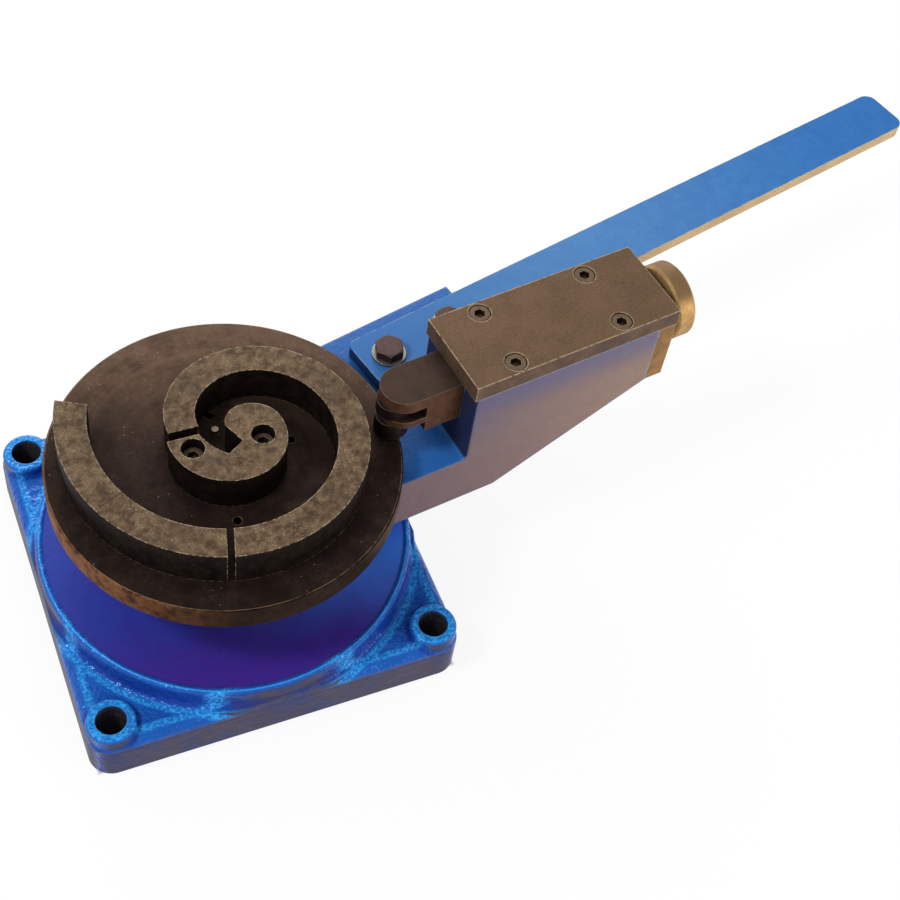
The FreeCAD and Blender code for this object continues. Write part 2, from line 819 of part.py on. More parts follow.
def strip_stop_pin():
    pin = doc.addObject("Part::Cylinder", "strip_stop_pin")
    pin.setExpression("Radius", s.stop_pin_radius.formula)
    pin.setExpression("Height", (s.disc_thick + s.stop_pin_proud).formula)
    return keep(pin, "strip_stop_pin", at(s.stop_pin_x, s.stop_pin_y, s.disc_bottom))


def core_screws():
    seat = core_screw_seat
    length = seat - s.disc_bottom + s.tapped_depth - s.screw_end_room
    screw = cap_screw("core_screw", s.large_screw, length, s.large_head, s.large_head_height, s.large_socket)
    places = [at(s.core_screw_x, s.core_screw_y, seat), at(s.core_screw_far_x, s.core_screw_far_y, seat)]
    return group("core_screws", screw, places)


# Arm casting: hub, body with the slide housing, and the handle wing

def arm_casting():
    body = new_body("arm_casting")
    hub = new_sketch(body, "hub_outline", "XY_Plane", s.arm_bottom)
    circle(hub, 0.0, 0.0, -near_y)
    pad(body, hub, "hub", s.arm_top - s.arm_bottom)
    neck = new_sketch(body, "hub_neck", "XY_Plane", hub_bottom)
    circle(neck, 0.0, 0.0, s.thrust_radius)
    pad(body, neck, "neck", s.arm_top - hub_bottom)
    side = new_sketch(body, "side_outline", "XZ_Plane", -far_y)
    polygon(side, [(0.0, s.arm_bottom), (s.arm_flat, s.arm_bottom), (s.housing_back, s.housing_heel),
                   (s.housing_back, s.housing_top), (s.housing_front, s.housing_top),
                   (s.housing_front, s.arm_top), (0.0, s.arm_top)])
    pad(body, side, "arm_body", s.housing_width)
    wing = new_sketch(body, "wing_outline", "XY_Plane", s.arm_top - s.wing_thick, s.handle_splay)
    polygon(wing, [(0.0, near_y / 2), (s.wing_end, far_y - s.slide_offset), (s.wing_end, s.wing_back),
                   (s.wing_shoulder, s.wing_back), (0.0, -near_y)])
    pad(body, wing, "wing", s.wing_thick)
    front = float(s.housing_front)
    floor = at_level(s.arm_top)
    high = float(s.housing_top) - 1.0
    fillet(body, "floor_blend", s.floor_round,
           lambda edge: floor(edge) and edge.Length > 20 and abs(edge.BoundBox.XMax - front) < 1e-3
           and abs(edge.BoundBox.XMin - front) < 1e-3)
    behind = float(s.housing_back) - 1.0
    fillet(body, "housing_corners", s.arm_edge_round,
           lambda edge: upright(edge) and edge.BoundBox.ZMax > high and edge.BoundBox.XMax < behind)
    channel = new_sketch(body, "channel_outline", "YZ_Plane", s.housing_back)
    rectangle(channel, slide_y - channel_half, channel_floor, slide_y + channel_half, cover_top)
    pocket(body, channel, "channel", s.housing_back - s.housing_front)
    arm_holes(body)
    return keep(body, "arm_casting", ARM_TURN)


def arm_holes(body):
    bore = new_sketch(body, "bush_bore", "XY_Plane", s.arm_top)
    circle(bore, 0.0, 0.0, s.bush_radius + s.fit_play)
    pocket(body, bore, "bush_bore_cut", s.arm_top - hub_bottom)
    taps = new_sketch(body, "cover_taps", "XY_Plane", s.housing_top)
    for x, y in cover_screw_places():
        circle(taps, x, y, s.large_screw + s.fit_play)
    pocket(body, taps, "cover_tap_cut", s.tapped_depth)
    ends = new_sketch(body, "end_taps", "YZ_Plane", s.housing_back)
    for y, z in end_screw_places():
        circle(ends, y, z, s.small_screw + s.fit_play)
    pocket(body, ends, "end_tap_cut", s.tapped_depth)
    bolts = new_sketch(body, "bolt_taps", "XY_Plane", s.arm_top, s.handle_splay)
    for x in bolt_stations():
        circle(bolts, x, bolt_y, s.bolt_radius + s.fit_play)
    pocket(body, bolts, "bolt_tap_cut", s.wing_thick)


def cover_screw_places():
    half = s.cover_screw_gauge / 2
    last = s.cover_screw_first + s.cover_screw_pitch
    return [(x, y) for x in (s.cover_screw_first, last) for y in (slide_y - half, slide_y + half)]


def end_screw_places():
    half = s.cover_screw_gauge / 2
    upper = s.housing_top - s.end_screw_upper
    lower = s.housing_heel + s.end_screw_lower
    return [(y, z) for y in (slide_y - half, slide_y + half) for z in (lower, upper)]


def bolt_stations():
    first = s.handle_start + s.handle_bolt_inset
    return (first, first + s.handle_bolt_pitch)


def cover_plate():
    body = new_body("cover_plate")
    outline = new_sketch(body, "cover_outline", "XY_Plane", s.housing_top)
    rectangle(outline, cover_front, near_y, end_face, far_y)
    pad(body, outline, "cover_pad", s.cover_thick)
    wells = new_sketch(body, "cover_wells", "XY_Plane", cover_top)
    for x, y in cover_screw_places():
        circle(wells, x, y, s.large_head + s.head_play)
    pocket(body, wells, "cover_well_cut", s.large_head_height + s.head_play)
    holes = new_sketch(body, "cover_holes", "XY_Plane", cover_top)
    for x, y in cover_screw_places():
        circle(holes, x, y, s.large_screw + s.hole_play)
    pocket(body, holes, "cover_hole_cut", s.cover_thick)
    return keep(body, "cover_plate", ARM_TURN)


def cover_screws():
    seat = cover_top - s.large_head_height - s.head_play
    length = seat - s.housing_top + s.tapped_depth - s.screw_end_room
    screw = cap_screw("cover_screw", s.large_screw, length, s.large_head, s.large_head_height, s.large_socket)
    return group("cover_screws", screw, [at(x, y, seat) for x, y in cover_screw_places()], ARM_TURN)


# Ram: bar with a forked nose, bored at its tail for the spring

def ram():
    half = s.ram_width / 2
    nose = s.ram_tip + half
    body = new_body("ram")
    outline = new_sketch(body, "ram_outline", "XY_Plane", ram_bottom)
    rectangle(outline, nose, slide_y - half, s.ram_tail, slide_y + half)
    pad(body, outline, "ram_bar", s.ram_height)
    tip = new_sketch(body, "ram_nose", "XY_Plane", ram_bottom)
    circle(tip, nose, slide_y, half)
    pad(body, tip, "ram_nose_pad", s.ram_height)
    slot = new_sketch(body, "fork_outline", "XZ_Plane", s.slide_offset + half)
    rectangle(slot, s.ram_tip - half, slot_bottom, s.fork_end, slot_top)
    rectangle(slot, s.ram_tip - half, ram_bottom - half, s.fork_end, fork_bottom)
    pocket(body, slot, "fork_cut", s.ram_width)
    pin = new_sketch(body, "pin_hole", "XY_Plane", ram_bottom)
    circle(pin, s.roller_centre, slide_y, s.pin_radius + s.fit_play)
    pocket(body, pin, "pin_hole_cut", slot_top + s.pin_seat - ram_bottom, back=True)
    bore = new_sketch(body, "spring_bore", "YZ_Plane", s.ram_tail)
    circle(bore, slide_y, s.axis_level, s.spring_bore)
    pocket(body, bore, "spring_bore_cut", s.spring_bore_depth)
    return keep(body, "ram", ARM_TURN)


def rollers():
    gap = s.axial_play / 2
    bore = s.pin_radius + s.running_play
    ring("upper_roller", bore, s.roller_radius, slot_bottom + gap, slot_top - gap, ARM_TURN,
         s.roller_centre, slide_y)
    body = ring("lower_roller", bore, s.roller_radius, roller_bottom, roller_bottom + s.lower_roller, ARM_TURN,
                s.roller_centre, slide_y)
    well = new_sketch(body, "clip_well", "XY_Plane", roller_bottom)
    circle(well, s.roller_centre, slide_y, s.clip_radius + s.hole_play)
    pocket(body, well, "clip_well_cut", s.clip_lift + s.clip_thick + s.axial_play, back=True)


def roller_pin():
    low = roller_bottom + s.axial_play
    pin = doc.addObject("Part::Cylinder", "pin_rod")
    pin.setExpression("Radius", s.pin_radius.formula)
    pin.setExpression("Height", (slot_top + s.pin_seat - s.axial_play - low).formula)
    groove = doc.addObject("Part::Cylinder", "pin_groove_outer")
    core = doc.addObject("Part::Cylinder", "pin_groove_core")
    for item, radius in ((groove, s.pin_radius + s.groove_depth), (core, s.pin_radius - s.groove_depth)):
        item.setExpression("Radius", radius.formula)
        item.setExpression("Height", s.clip_thick.formula)
        item.Placement = at(0.0, 0.0, s.clip_lift - s.axial_play)
    band_ring = doc.addObject("Part::Cut", "pin_groove")
    band_ring.Base = groove
    band_ring.Tool = core
    item = doc.addObject("Part::Cut", "roller_pin_body")
    item.Base = pin
    item.Tool = band_ring
    return keep(item, "roller_pin", ARM_TURN.multiply(at(s.roller_centre, slide_y, low)))


def pin_clip():
    """Open retaining ring in the pin's groove."""
    low = roller_bottom + s.clip_lift
    inner = s.pin_radius - s.groove_depth + s.fit_play
    body = new_body("pin_clip")
    sketch = new_sketch(body, "clip_outline", "XY_Plane", low)
    circle(sketch, s.roller_centre, slide_y, s.clip_radius)
    circle(sketch, s.roller_centre, slide_y, inner)
    pad(body, sketch, "clip_pad", s.clip_thick)
    mouth = new_sketch(body, "clip_mouth", "XY_Plane", low + s.clip_thick)
    half = s.pin_radius / 2
    rectangle(mouth, s.roller_centre, slide_y - half, s.roller_centre + s.clip_radius * 2, slide_y + half)
    pocket(body, mouth, "clip_mouth_cut", s.clip_thick)
    return keep(body, "pin_clip", ARM_TURN)


# Adjuster: spring, seat nut, screw, end plate, collar and knob on one axis along the arm

def along_axis(x):
    """Placement that turns Z into the arm's X axis at a station on the adjuster's axis."""
    turn = FreeCAD.Rotation(V(0, 1, 0), 90)
    return ARM_TURN.multiply(FreeCAD.Placement(V(float(x), float(slide_y), float(s.axis_level)), turn))


def ram_spring():
    """Round wire coil from the floor of the ram's bore to the seat."""
    start = s.ram_tail - s.spring_bore_depth
    wire = float(s.spring_wire) / 2
    radius = float(s.spring_radius) - wire
    length = float(s.seat_face - start) - wire * 2
    steps = round(float(s.spring_turns) * 4)
    rise = length / steps
    path = []
    for i in range(steps):
        points = [V(radius * math.cos(math.radians(a)), radius * math.sin(math.radians(a)), wire + rise * a / 90)
                  for a in (90.0 * i, 90.0 * i + 45, 90.0 * i + 90)]
        path.append(Part.Arc(*points).toShape())
    gap = rise * 4 - wire * 2
    print("spring coil: %d turns, least gap between turns %.2f mm" % (steps // 4, gap))
    first = path[0]
    section = Part.Wire(Part.Circle(first.valueAt(first.FirstParameter), first.tangentAt(first.FirstParameter),
                                    wire).toShape())
    coil = Part.Wire(path).makePipeShell([section], True, False)
    return solid("ram_spring", coil, along_axis(start))


def spring_seat():
    body = new_body("spring_seat")
    sketch = new_sketch(body, "seat_outline", "YZ_Plane", s.seat_face)
    rectangle(sketch, slide_y - s.ram_width / 2, ram_bottom, slide_y + s.ram_width / 2, ram_top)
    circle(sketch, slide_y, s.axis_level, s.screw_radius + s.fit_play)
    pad(body, sketch, "seat_pad", s.seat_thick)
    return keep(body, "spring_seat", ARM_TURN)


def adjusting_screw():
    flange_back = s.housing_back - s.axial_play
    flange = flange_back - s.screw_flange_thick
    shaft_end = knob_face + s.knob_thick / 2
    tip = s.screw_tip
    profile = [(0.0, 0.0), (s.screw_radius, 0.0), (s.screw_radius, flange - tip),
               (s.screw_flange, flange - tip), (s.screw_flange, flange_back - tip),
               (s.journal_radius, flange_back - tip), (s.journal_radius, shaft_end - tip),
               (0.0, shaft_end - tip)]
    tap = (0.0, 0.0, s.small_screw + s.fit_play, shaft_end - tip, s.tapped_depth)
    return turned("adjusting_screw", profile, [tap], along_axis(tip))


def end_plate():
    body = new_body("end_plate")
    outline = new_sketch(body, "end_outline", "YZ_Plane", s.housing_back)
    rectangle(outline, near_y, s.housing_heel + s.end_plate_drop, far_y, s.housing_top)
    pad(body, outline, "end_pad", s.end_plate_thick)
    bore = new_sketch(body, "journal_bore", "YZ_Plane", end_face)
    circle(bore, slide_y, s.axis_level, s.journal_radius + s.running_play)
    pocket(body, bore, "journal_cut", s.end_plate_thick)
    wells = new_sketch(body, "end_wells", "YZ_Plane", end_face)
    for y, z in end_screw_places():
        circle(wells, y, z, s.small_head + s.head_play)
    pocket(body, wells, "end_well_cut", s.small_head_height + s.head_play)
    holes = new_sketch(body, "end_holes", "YZ_Plane", end_face)
    for y, z in end_screw_places():
        circle(holes, y, z, s.small_screw + s.hole_play)
    pocket(body, holes, "end_hole_cut", s.end_plate_thick)
    return keep(body, "end_plate", ARM_TURN)


def end_plate_screws():
    depth = s.small_head_height + s.head_play
    length = s.end_plate_thick - depth + s.tapped_depth - s.screw_end_room
    screw = cap_screw("end_screw", s.small_screw, length, s.small_head, s.small_head_height, s.small_socket)
    turn = FreeCAD.Rotation(V(0, 1, 0), 90)
    places = [FreeCAD.Placement(V(float(end_face - depth), float(y), float(z)), turn)
              for y, z in end_screw_places()]
    return group("end_plate_screws", screw, places, ARM_TURN)


def lock_collar():
    inner = s.journal_radius + s.fit_play
    profile = [(inner, 0.0), (s.collar_radius, 0.0), (s.collar_radius, s.collar_thick), (inner, s.collar_thick)]
    return turned("lock_collar", profile, (), along_axis(end_face + s.axial_play))


def adjusting_knob():
    inner = s.journal_radius + s.fit_play
    bore_end = s.knob_thick / 2
    hole = s.small_screw + s.hole_play
    well = s.small_head + s.hole_play
    seat = s.knob_thick / 2 + s.head_play
    edge = s.knob_edge
    profile = [(inner, 0.0), (s.knob_radius - edge, 0.0), (s.knob_radius, edge),
               (s.knob_radius, s.knob_thick - edge), (s.knob_radius - edge, s.knob_thick),
               (well, s.knob_thick), (well, seat + s.knob_web), (hole, seat + s.knob_web),
               (hole, bore_end), (inner, bore_end)]
    return turned("adjusting_knob", profile, (), along_axis(knob_face))


def knob_screw():
    seat = knob_face + s.knob_thick / 2 + s.head_play + s.knob_web
    screw = cap_screw("knob_screw_blank", s.small_screw, s.tapped_depth - s.screw_end_room, s.small_head,
                      s.small_head_height, s.small_socket)
    item = doc.addObject("Part::Feature", "knob_screw")
    item.Shape = screw.Shape.copy()
    return keep(item, "knob_screw", along_axis(seat))


# Handle: flat bar with two hexagon bolts and washers

def handle_bar():
    body = new_body("handle_bar")
    outline = new_sketch(body, "bar_outline", "XY_Plane", s.arm_top)
    rectangle(outline, s.handle_start, s.handle_near, handle_end, handle_far)
    pad(body, outline, "bar_pad", s.handle_thick)
    far = float(handle_end)
    near = float(s.handle_start)
    fillet(body, "bar_end_round", s.handle_corner,
           lambda edge: upright(edge) and abs(edge.BoundBox.XMax - far) < 1e-3)
    fillet(body, "bar_start_round", s.handle_inner_corner,
           lambda edge: upright(edge) and abs(edge.BoundBox.XMin - near) < 1e-3)
    holes = new_sketch(body, "bar_holes", "XY_Plane", handle_top)
    for x in bolt_stations():
        circle(holes, x, bolt_y, s.bolt_radius + s.hole_play)
    pocket(body, holes, "bar_hole_cut", s.handle_thick)
    return keep(body, "handle_bar", HANDLE_TURN)


def handle_washers():
    rings = []
    for x in bolt_stations():
        place = V(float(x), float(bolt_y), float(handle_top))
        thick = float(s.bolt_washer_thick)
        outer = Part.makeCylinder(float(s.bolt_washer), thick, place)
        rings.append(outer.cut(Part.makeCylinder(float(s.bolt_radius + s.hole_play), thick, place)))
    return solid("handle_washers", Part.makeCompound(rings), HANDLE_TURN)


def handle_bolts():
    seat = handle_top + s.bolt_washer_thick
    length = seat - s.arm_top + s.wing_thick - s.bolt_end_room
    body = new_body("handle_bolt")
    shank = new_sketch(body, "bolt_shank", "XY_Plane", -length)
    circle(shank, 0.0, 0.0, s.bolt_radius)
    pad(body, shank, "bolt_shank_pad", length + s.bolt_head / 2)
    head = new_sketch(body, "bolt_head")
    hexagon(head, 0.0, 0.0, s.bolt_flats)
    pad(body, head, "bolt_head_pad", s.bolt_head)
    crown = new_sketch(body, "bolt_crown", "XZ_Plane")
    outer = s.bolt_flats
    polygon(crown, [(s.bolt_crown, s.bolt_head), (outer, s.bolt_head - s.bolt_crown_drop), (outer, s.bolt_head)])
    groove = body.newObject("PartDesign::Groove", "bolt_crown_cut")
    groove.Profile = crown
    groove.ReferenceAxis = (crown, ["V_Axis"])
    groove.Angle = 360.0
    doc.recompute()
    return group("handle_bolts", body, [at(x, bolt_y, seat) for x in bolt_stations()], HANDLE_TURN)


def build():
    base_casting()
    pivot_post()
    post_dowel()
    ring("post_washer", s.post_thread + s.hole_play, s.post_washer_radius, s.hub_face - s.post_washer_thick,
         s.hub_face)
    post_nut()
    ring("lower_thrust_washer", bush_bore, s.thrust_radius, s.table_top, hub_bottom)
    former_disc()
    core_segment()
    core_screws()
    middle_segment()
    outer_segment()
    segment_dowels()
    strip_stop_pin()
    arm_casting()
    ring("pivot_bush", bush_bore, s.bush_radius, hub_bottom, s.arm_top, ARM_TURN)
    ring("upper_thrust_washer", bush_bore, s.thrust_radius, s.arm_top, s.disc_bottom - s.axial_play, ARM_TURN)
    cover_plate()
    cover_screws()
    ram()
    rollers()
    roller_pin()
    pin_clip()
    ram_spring()
    spring_seat()
    adjusting_screw()
    end_plate()
    end_plate_screws()
    lock_collar()
    adjusting_knob()
    knob_screw()
    handle_bar()
    handle_washers()
    handle_bolts()


def check():
    """Stops if any object failed or any sub-part has no sound shape."""
    doc.recompute()
    for item in doc.Objects:
        if "Invalid" in item.State or "Error" in item.State:
            raise RuntimeError("failed: " + item.Name)
    for item in nodes:
        if item.Shape.isNull() or not item.Shape.isValid() or item.Shape.Volume <= 0:
            raise RuntimeError("no sound shape: " + item.Label)


def export():
    os.makedirs("parts", exist_ok=True)
    for item in nodes:
        item.Shape.exportStep("parts/%s.step" % item.Label)
        print(item.Label, len(item.Shape.Solids), round(item.Shape.Volume))


build()
check()
export()
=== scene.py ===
import math

import bpy
from mathutils import Euler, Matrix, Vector

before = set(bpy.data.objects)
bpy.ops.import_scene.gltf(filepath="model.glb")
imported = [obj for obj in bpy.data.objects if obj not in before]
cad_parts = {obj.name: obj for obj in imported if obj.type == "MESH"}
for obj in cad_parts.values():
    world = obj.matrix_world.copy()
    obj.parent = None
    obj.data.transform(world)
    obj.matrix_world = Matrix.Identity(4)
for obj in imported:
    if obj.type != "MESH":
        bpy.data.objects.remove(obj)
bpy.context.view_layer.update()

MM = 0.001

# View of the photograph
CAMERA_PLACE = (-162.965 * MM, -512.791 * MM, 849.731 * MM)
CAMERA_TURN = (0.641013, -0.111099, -0.390200)
CAMERA_LENS = 64.53
CAMERA_SENSOR = 36.0

# Directions that surfaces of the object face
UP = (0.0, 0.0, 1.0)
TO_FORMER = (-0.9907, -0.1357, 0.0)
TO_ARM_SIDE = (0.1357, -0.9907, 0.0)
TO_HANDLE_END = (0.9694, 0.2456, 0.0)
TO_HANDLE_ROOT = (-0.9694, -0.2456, 0.0)

# Base: levels, distances from the axis and distances from a bolt hole's axis
TABLE_LEVEL = 42.0 * MM
TABLE_REACH = 107.5 * MM
# Bands of painted highlight at the table's rim and along the ridges, and of painted shade on the
# table's wall
TABLE_RIM = (108.0 * MM, 108.9 * MM, 0.3 * MM)
TABLE_WALL_SHADE = (110.2 * MM, 112.8 * MM, 0.6 * MM)
TABLE_HIGHLIGHT_BAND = (114.0 * MM, 117.5 * MM, 1.2 * MM)
EDGE_HIGHLIGHT_BAND = (101.5 * MM, 105.5 * MM, 1.2 * MM)
BASE_SIDE = (106.0 * MM, 110.0 * MM)
BOLT_PLACE = 96.0 * MM
BOLT_REACH = 8.85 * MM
# Bands of painted highlight around a boss, then of painted shade at its foot
BOSS_HIGHLIGHT_BAND = (9.8 * MM, 13.0 * MM, 0.6 * MM)
BOSS_FOOT_SHADE = (14.4 * MM, 16.4 * MM, 0.8 * MM)

# Marks on the scroll former: start, end and half width, or place and radius
OUTER_SCRIBE = ((-80.0 * MM, -28.6 * MM), (-62.0 * MM, -21.0 * MM), 0.35 * MM)
MIDDLE_SCRIBE = ((25.5 * MM, -53.0 * MM), (34.5 * MM, -62.5 * MM), 0.35 * MM)
CORE_DIMPLE = ((-25.7 * MM, -21.5 * MM, 128.0 * MM), 2.0 * MM)

# Tones in linear light. A set of three is a base, a dark and a light tone.
TABLE_BRIGHT = ((0.007, 0.066, 0.34), (0.006, 0.034, 0.23), (0.012, 0.12, 0.46))
# Painted reflection: the violet front of the table. Painted shade and light: the darker left and
# lighter right of the table
TABLE_VIOLET_REFLECTION = ((0.036, 0.012, 0.205), (0.048, 0.009, 0.155), (0.03, 0.024, 0.285))
TABLE_LEFT_PAINTED_SHADE = ((0.018, 0.025, 0.245), (0.024, 0.013, 0.195), (0.016, 0.044, 0.305))
TABLE_RIGHT_PAINTED_LIGHT = ((0.045, 0.19, 0.78), (0.05, 0.15, 0.66), (0.045, 0.24, 0.86))
# Painted shade at the foot of the table's wall and of the bosses
WALL_PAINTED_SHADE = (0.006, 0.02, 0.22)
# Painted highlights: cyan along the ridges and the table's rim
RIDGE_PAINTED_HIGHLIGHT = (0.03, 0.33, 0.76)
RIM_PAINTED_HIGHLIGHT = (0.035, 0.25, 0.72)
# Painted highlight along the base's convex edges
EDGE_PAINTED_HIGHLIGHT = (0.02, 0.36, 0.85)
# Painted shade in the base's corners and under neighbours
CORNER_PAINTED_SHADE = (0.004, 0.016, 0.13)
# Painted shade deep inside the bolt holes
BORE_PAINTED_SHADE = (0.04, 0.036, 0.045)
# Painted reflection: brown and violet haze on the base's sides
BASE_SIDE_REFLECTION = ((0.038, 0.013, 0.01), (0.012, 0.009, 0.056))
BASE_SHEEN = (0.2, 0.5, 0.95)

ARM_TOP = ((0.016, 0.105, 0.32), (0.008, 0.07, 0.26), (0.04, 0.165, 0.41))
ARM_LOW = ((0.012, 0.042, 0.3), (0.01, 0.026, 0.22), (0.016, 0.07, 0.4))
# Painted shade on the housing's walls facing the former
ARM_FRONT_PAINTED_SHADE = (0.014, 0.011, 0.03)
# Painted reflection on the arm's sides: warm, cool and mottled tones
ARM_SIDE_REFLECTION = ((0.16, 0.1, 0.095), (0.27, 0.175, 0.115))
ARM_COOL_REFLECTION = (0.06, 0.075, 0.2)
ARM_REFLECTION_MOTTLE = (0.075, 0.055, 0.07)
# Painted highlight along the arm's convex edges
ARM_EDGE_PAINTED_HIGHLIGHT = (0.13, 0.36, 0.7)
# Painted shade in the arm's corners and under neighbours
ARM_CORNER_PAINTED_SHADE = (0.006, 0.018, 0.09)

# Lighter blue with a painted sheen near the bolts
HANDLE_NEAR_WITH_SHEEN = ((0.045, 0.155, 0.36), (0.026, 0.12, 0.315), (0.085, 0.21, 0.43))
HANDLE_FAR = ((0.014, 0.112, 0.335), (0.007, 0.08, 0.285), (0.035, 0.16, 0.4))
HANDLE_SHADE = (0.018, 0.105, 0.32)
HANDLE_BARE = ((0.4, 0.28, 0.13), (0.25, 0.17, 0.08), (0.6, 0.48, 0.3))
# Painted shade on the bar's inner end face
HANDLE_ROOT_PAINTED_SHADE = (0.006, 0.016, 0.07)
HANDLE_EDGE = (0.42, 0.42, 0.38)

DISC_DEEP = ((0.0165, 0.0098, 0.0085), (0.009, 0.006, 0.0058), (0.04, 0.025, 0.019))
# Painted sheen: lighter brown towards the back of the disc
DISC_PAINTED_SHEEN = ((0.072, 0.043, 0.028), (0.04, 0.025, 0.018), (0.125, 0.083, 0.056))
DISC_RIM = ((0.006, 0.003, 0.0015), (0.003, 0.002, 0.0015), (0.035, 0.014, 0.006))
DISC_RUST = ((0.12, 0.046, 0.016), (0.03, 0.013, 0.007), (0.34, 0.15, 0.055))
DISC_BROAD = (0.09, 0.06, 0.042)
DISC_RING = (0.085, 0.062, 0.048)
DISC_PIT = (0.26, 0.22, 0.18)
DISC_EDGE = (0.17, 0.12, 0.078)
DISC_SHEEN = (1.0, 0.72, 0.6)
DISC_LIP = (98.8 * MM, 99.8 * MM, 0.3 * MM)

FORMER_TOP = ((0.08, 0.05, 0.028), (0.04, 0.026, 0.016), (0.25, 0.19, 0.115))
FORMER_WALL = ((0.01, 0.0065, 0.0055), (0.004, 0.0033, 0.0033), (0.04, 0.021, 0.013))
FORMER_SHADE = (0.04, 0.027, 0.018)
FORMER_RUST = (0.11, 0.05, 0.026)
FORMER_FLECK = (0.36, 0.29, 0.18)
FORMER_EDGE = (0.36, 0.3, 0.2)
SCRIBED = (0.015, 0.01, 0.008)
# Painted shade of the small hole in the core
DIMPLE_PAINTED_SHADE = (0.002, 0.002, 0.002)

# Browned steels: tones of the top, then side, worn edge, patch size, edge width, width of the
# shade in corners and the pieces that have this look
CORNER_SHADE = 4.0 * MM
BROWNED = {
    "cover_steel": (
        ((0.094, 0.055, 0.03), (0.064, 0.038, 0.021), (0.15, 0.095, 0.056)),
        (0.105, 0.062, 0.042), (0.42, 0.33, 0.22), 20.0 * MM, 0.9 * MM, CORNER_SHADE,
        ("cover_plate",)),
    "ram_steel": (
        ((0.034, 0.019, 0.014), (0.021, 0.0125, 0.01), (0.06, 0.036, 0.026)),
        (0.085, 0.036, 0.018), (0.14, 0.1, 0.07), 9.0 * MM, 0.7 * MM, 16.0 * MM,
        ("ram",)),
    "end_steel": (
        ((0.12, 0.075, 0.04), (0.085, 0.052, 0.028), (0.19, 0.12, 0.07)),
        (0.25, 0.13, 0.046), (0.45, 0.32, 0.18), 12.0 * MM, 0.7 * MM, CORNER_SHADE,
        ("end_plate",)),
    "screw_steel": (
        ((0.1, 0.062, 0.037), (0.05, 0.033, 0.022), (0.16, 0.11, 0.07)),
        (0.03, 0.021, 0.015), (0.26, 0.2, 0.14), 4.0 * MM, 0.4 * MM, CORNER_SHADE,
        ("cover_screws", "core_screws", "end_plate_screws", "knob_screw")),
    "bolt_steel": (
        ((0.062, 0.038, 0.034), (0.04, 0.025, 0.022), (0.12, 0.08, 0.07)),
        (0.032, 0.02, 0.018), (0.22, 0.16, 0.13), 4.0 * MM, 0.6 * MM, CORNER_SHADE,
        ("handle_bolts",)),
    "knob_steel": (
        ((0.155, 0.092, 0.04), (0.1, 0.06, 0.028), (0.23, 0.145, 0.07)),
        (0.4, 0.25, 0.1), (0.5, 0.38, 0.22), 11.0 * MM, 0.9 * MM, 6.0 * MM,
        ("adjusting_knob",)),
    "collar_steel": (
        ((0.05, 0.031, 0.019), (0.03, 0.02, 0.013), (0.09, 0.056, 0.035)),
        (0.045, 0.027, 0.016), (0.28, 0.2, 0.12), 7.0 * MM, 0.6 * MM, CORNER_SHADE,
        ("lock_collar",)),
    "roller_steel": (
        ((0.012, 0.0075, 0.007), (0.007, 0.005, 0.0045), (0.024, 0.015, 0.012)),
        (0.011, 0.0065, 0.006), (0.11, 0.075, 0.05), 6.0 * MM, 0.6 * MM, CORNER_SHADE,
        ("upper_roller", "lower_roller")),
}

# Turned metals: tones, how the turning marks are stretched, and the pieces that have this look
ACROSS = (1.0, 0.06, 0.06)
UPRIGHT = (0.06, 0.06, 1.0)
TURNED = {
    "washer_steel": (
        ((0.2, 0.185, 0.16), (0.12, 0.11, 0.095), (0.32, 0.3, 0.26)), UPRIGHT,
        ("handle_washers",)),
    "pin_steel": (
        ((0.34, 0.25, 0.18), (0.2, 0.14, 0.1), (0.5, 0.4, 0.3)), UPRIGHT,
        ("strip_stop_pin", "segment_dowels", "post_dowel", "roller_pin", "pin_clip")),
    "lathe_steel": (
        ((0.42, 0.4, 0.38), (0.25, 0.24, 0.22), (0.65, 0.63, 0.6)), UPRIGHT,
        ("pivot_post", "post_washer", "post_nut")),
    "spindle_steel": (
        ((0.4, 0.38, 0.35), (0.22, 0.2, 0.18), (0.62, 0.6, 0.55)), ACROSS,
        ("adjusting_screw", "spring_seat", "ram_spring")),
    "bush_bronze": (
        ((0.55, 0.32, 0.12), (0.35, 0.2, 0.08), (0.8, 0.52, 0.25)), UPRIGHT,
        ("pivot_bush", "lower_thrust_washer", "upper_thrust_washer")),
}

# Studio: world light, floor and lamps
WORLD_TONE = (0.93, 0.96, 1.0, 1.0)
WORLD_LIGHT = 0.74
WHITE = (1.0, 1.0, 1.0, 1.0)
FLOOR_REACH = 8.0
FLOOR_LEVEL = -0.2 * MM
FLOOR_TONE = 0.97
FLOOR_GLOW = 0.9
# Painted shadow on the floor under the base
COVERED_PAINTED_SHADOW = 0.01
COVERED_REACH = (106.0 * MM, 109.0 * MM)

# Name, place, what it aims at, width and height, power and tone
LAMPS = (
    ("window", (0.35, 1.5, 0.95), (0.1, 0.05, 0.1), (1.2, 0.7), 20.0, (1.0, 0.97, 0.93)),
    ("key", (-0.9, -0.1, 1.4), (0.1, 0.0, 0.05), (0.3, 0.3), 14.5, (1.0, 0.98, 0.95)),
    ("warm_side", (1.2, -1.3, 0.5), (0.25, 0.0, 0.1), (0.9, 0.6), 14.0, (1.0, 0.9, 0.76)),
)


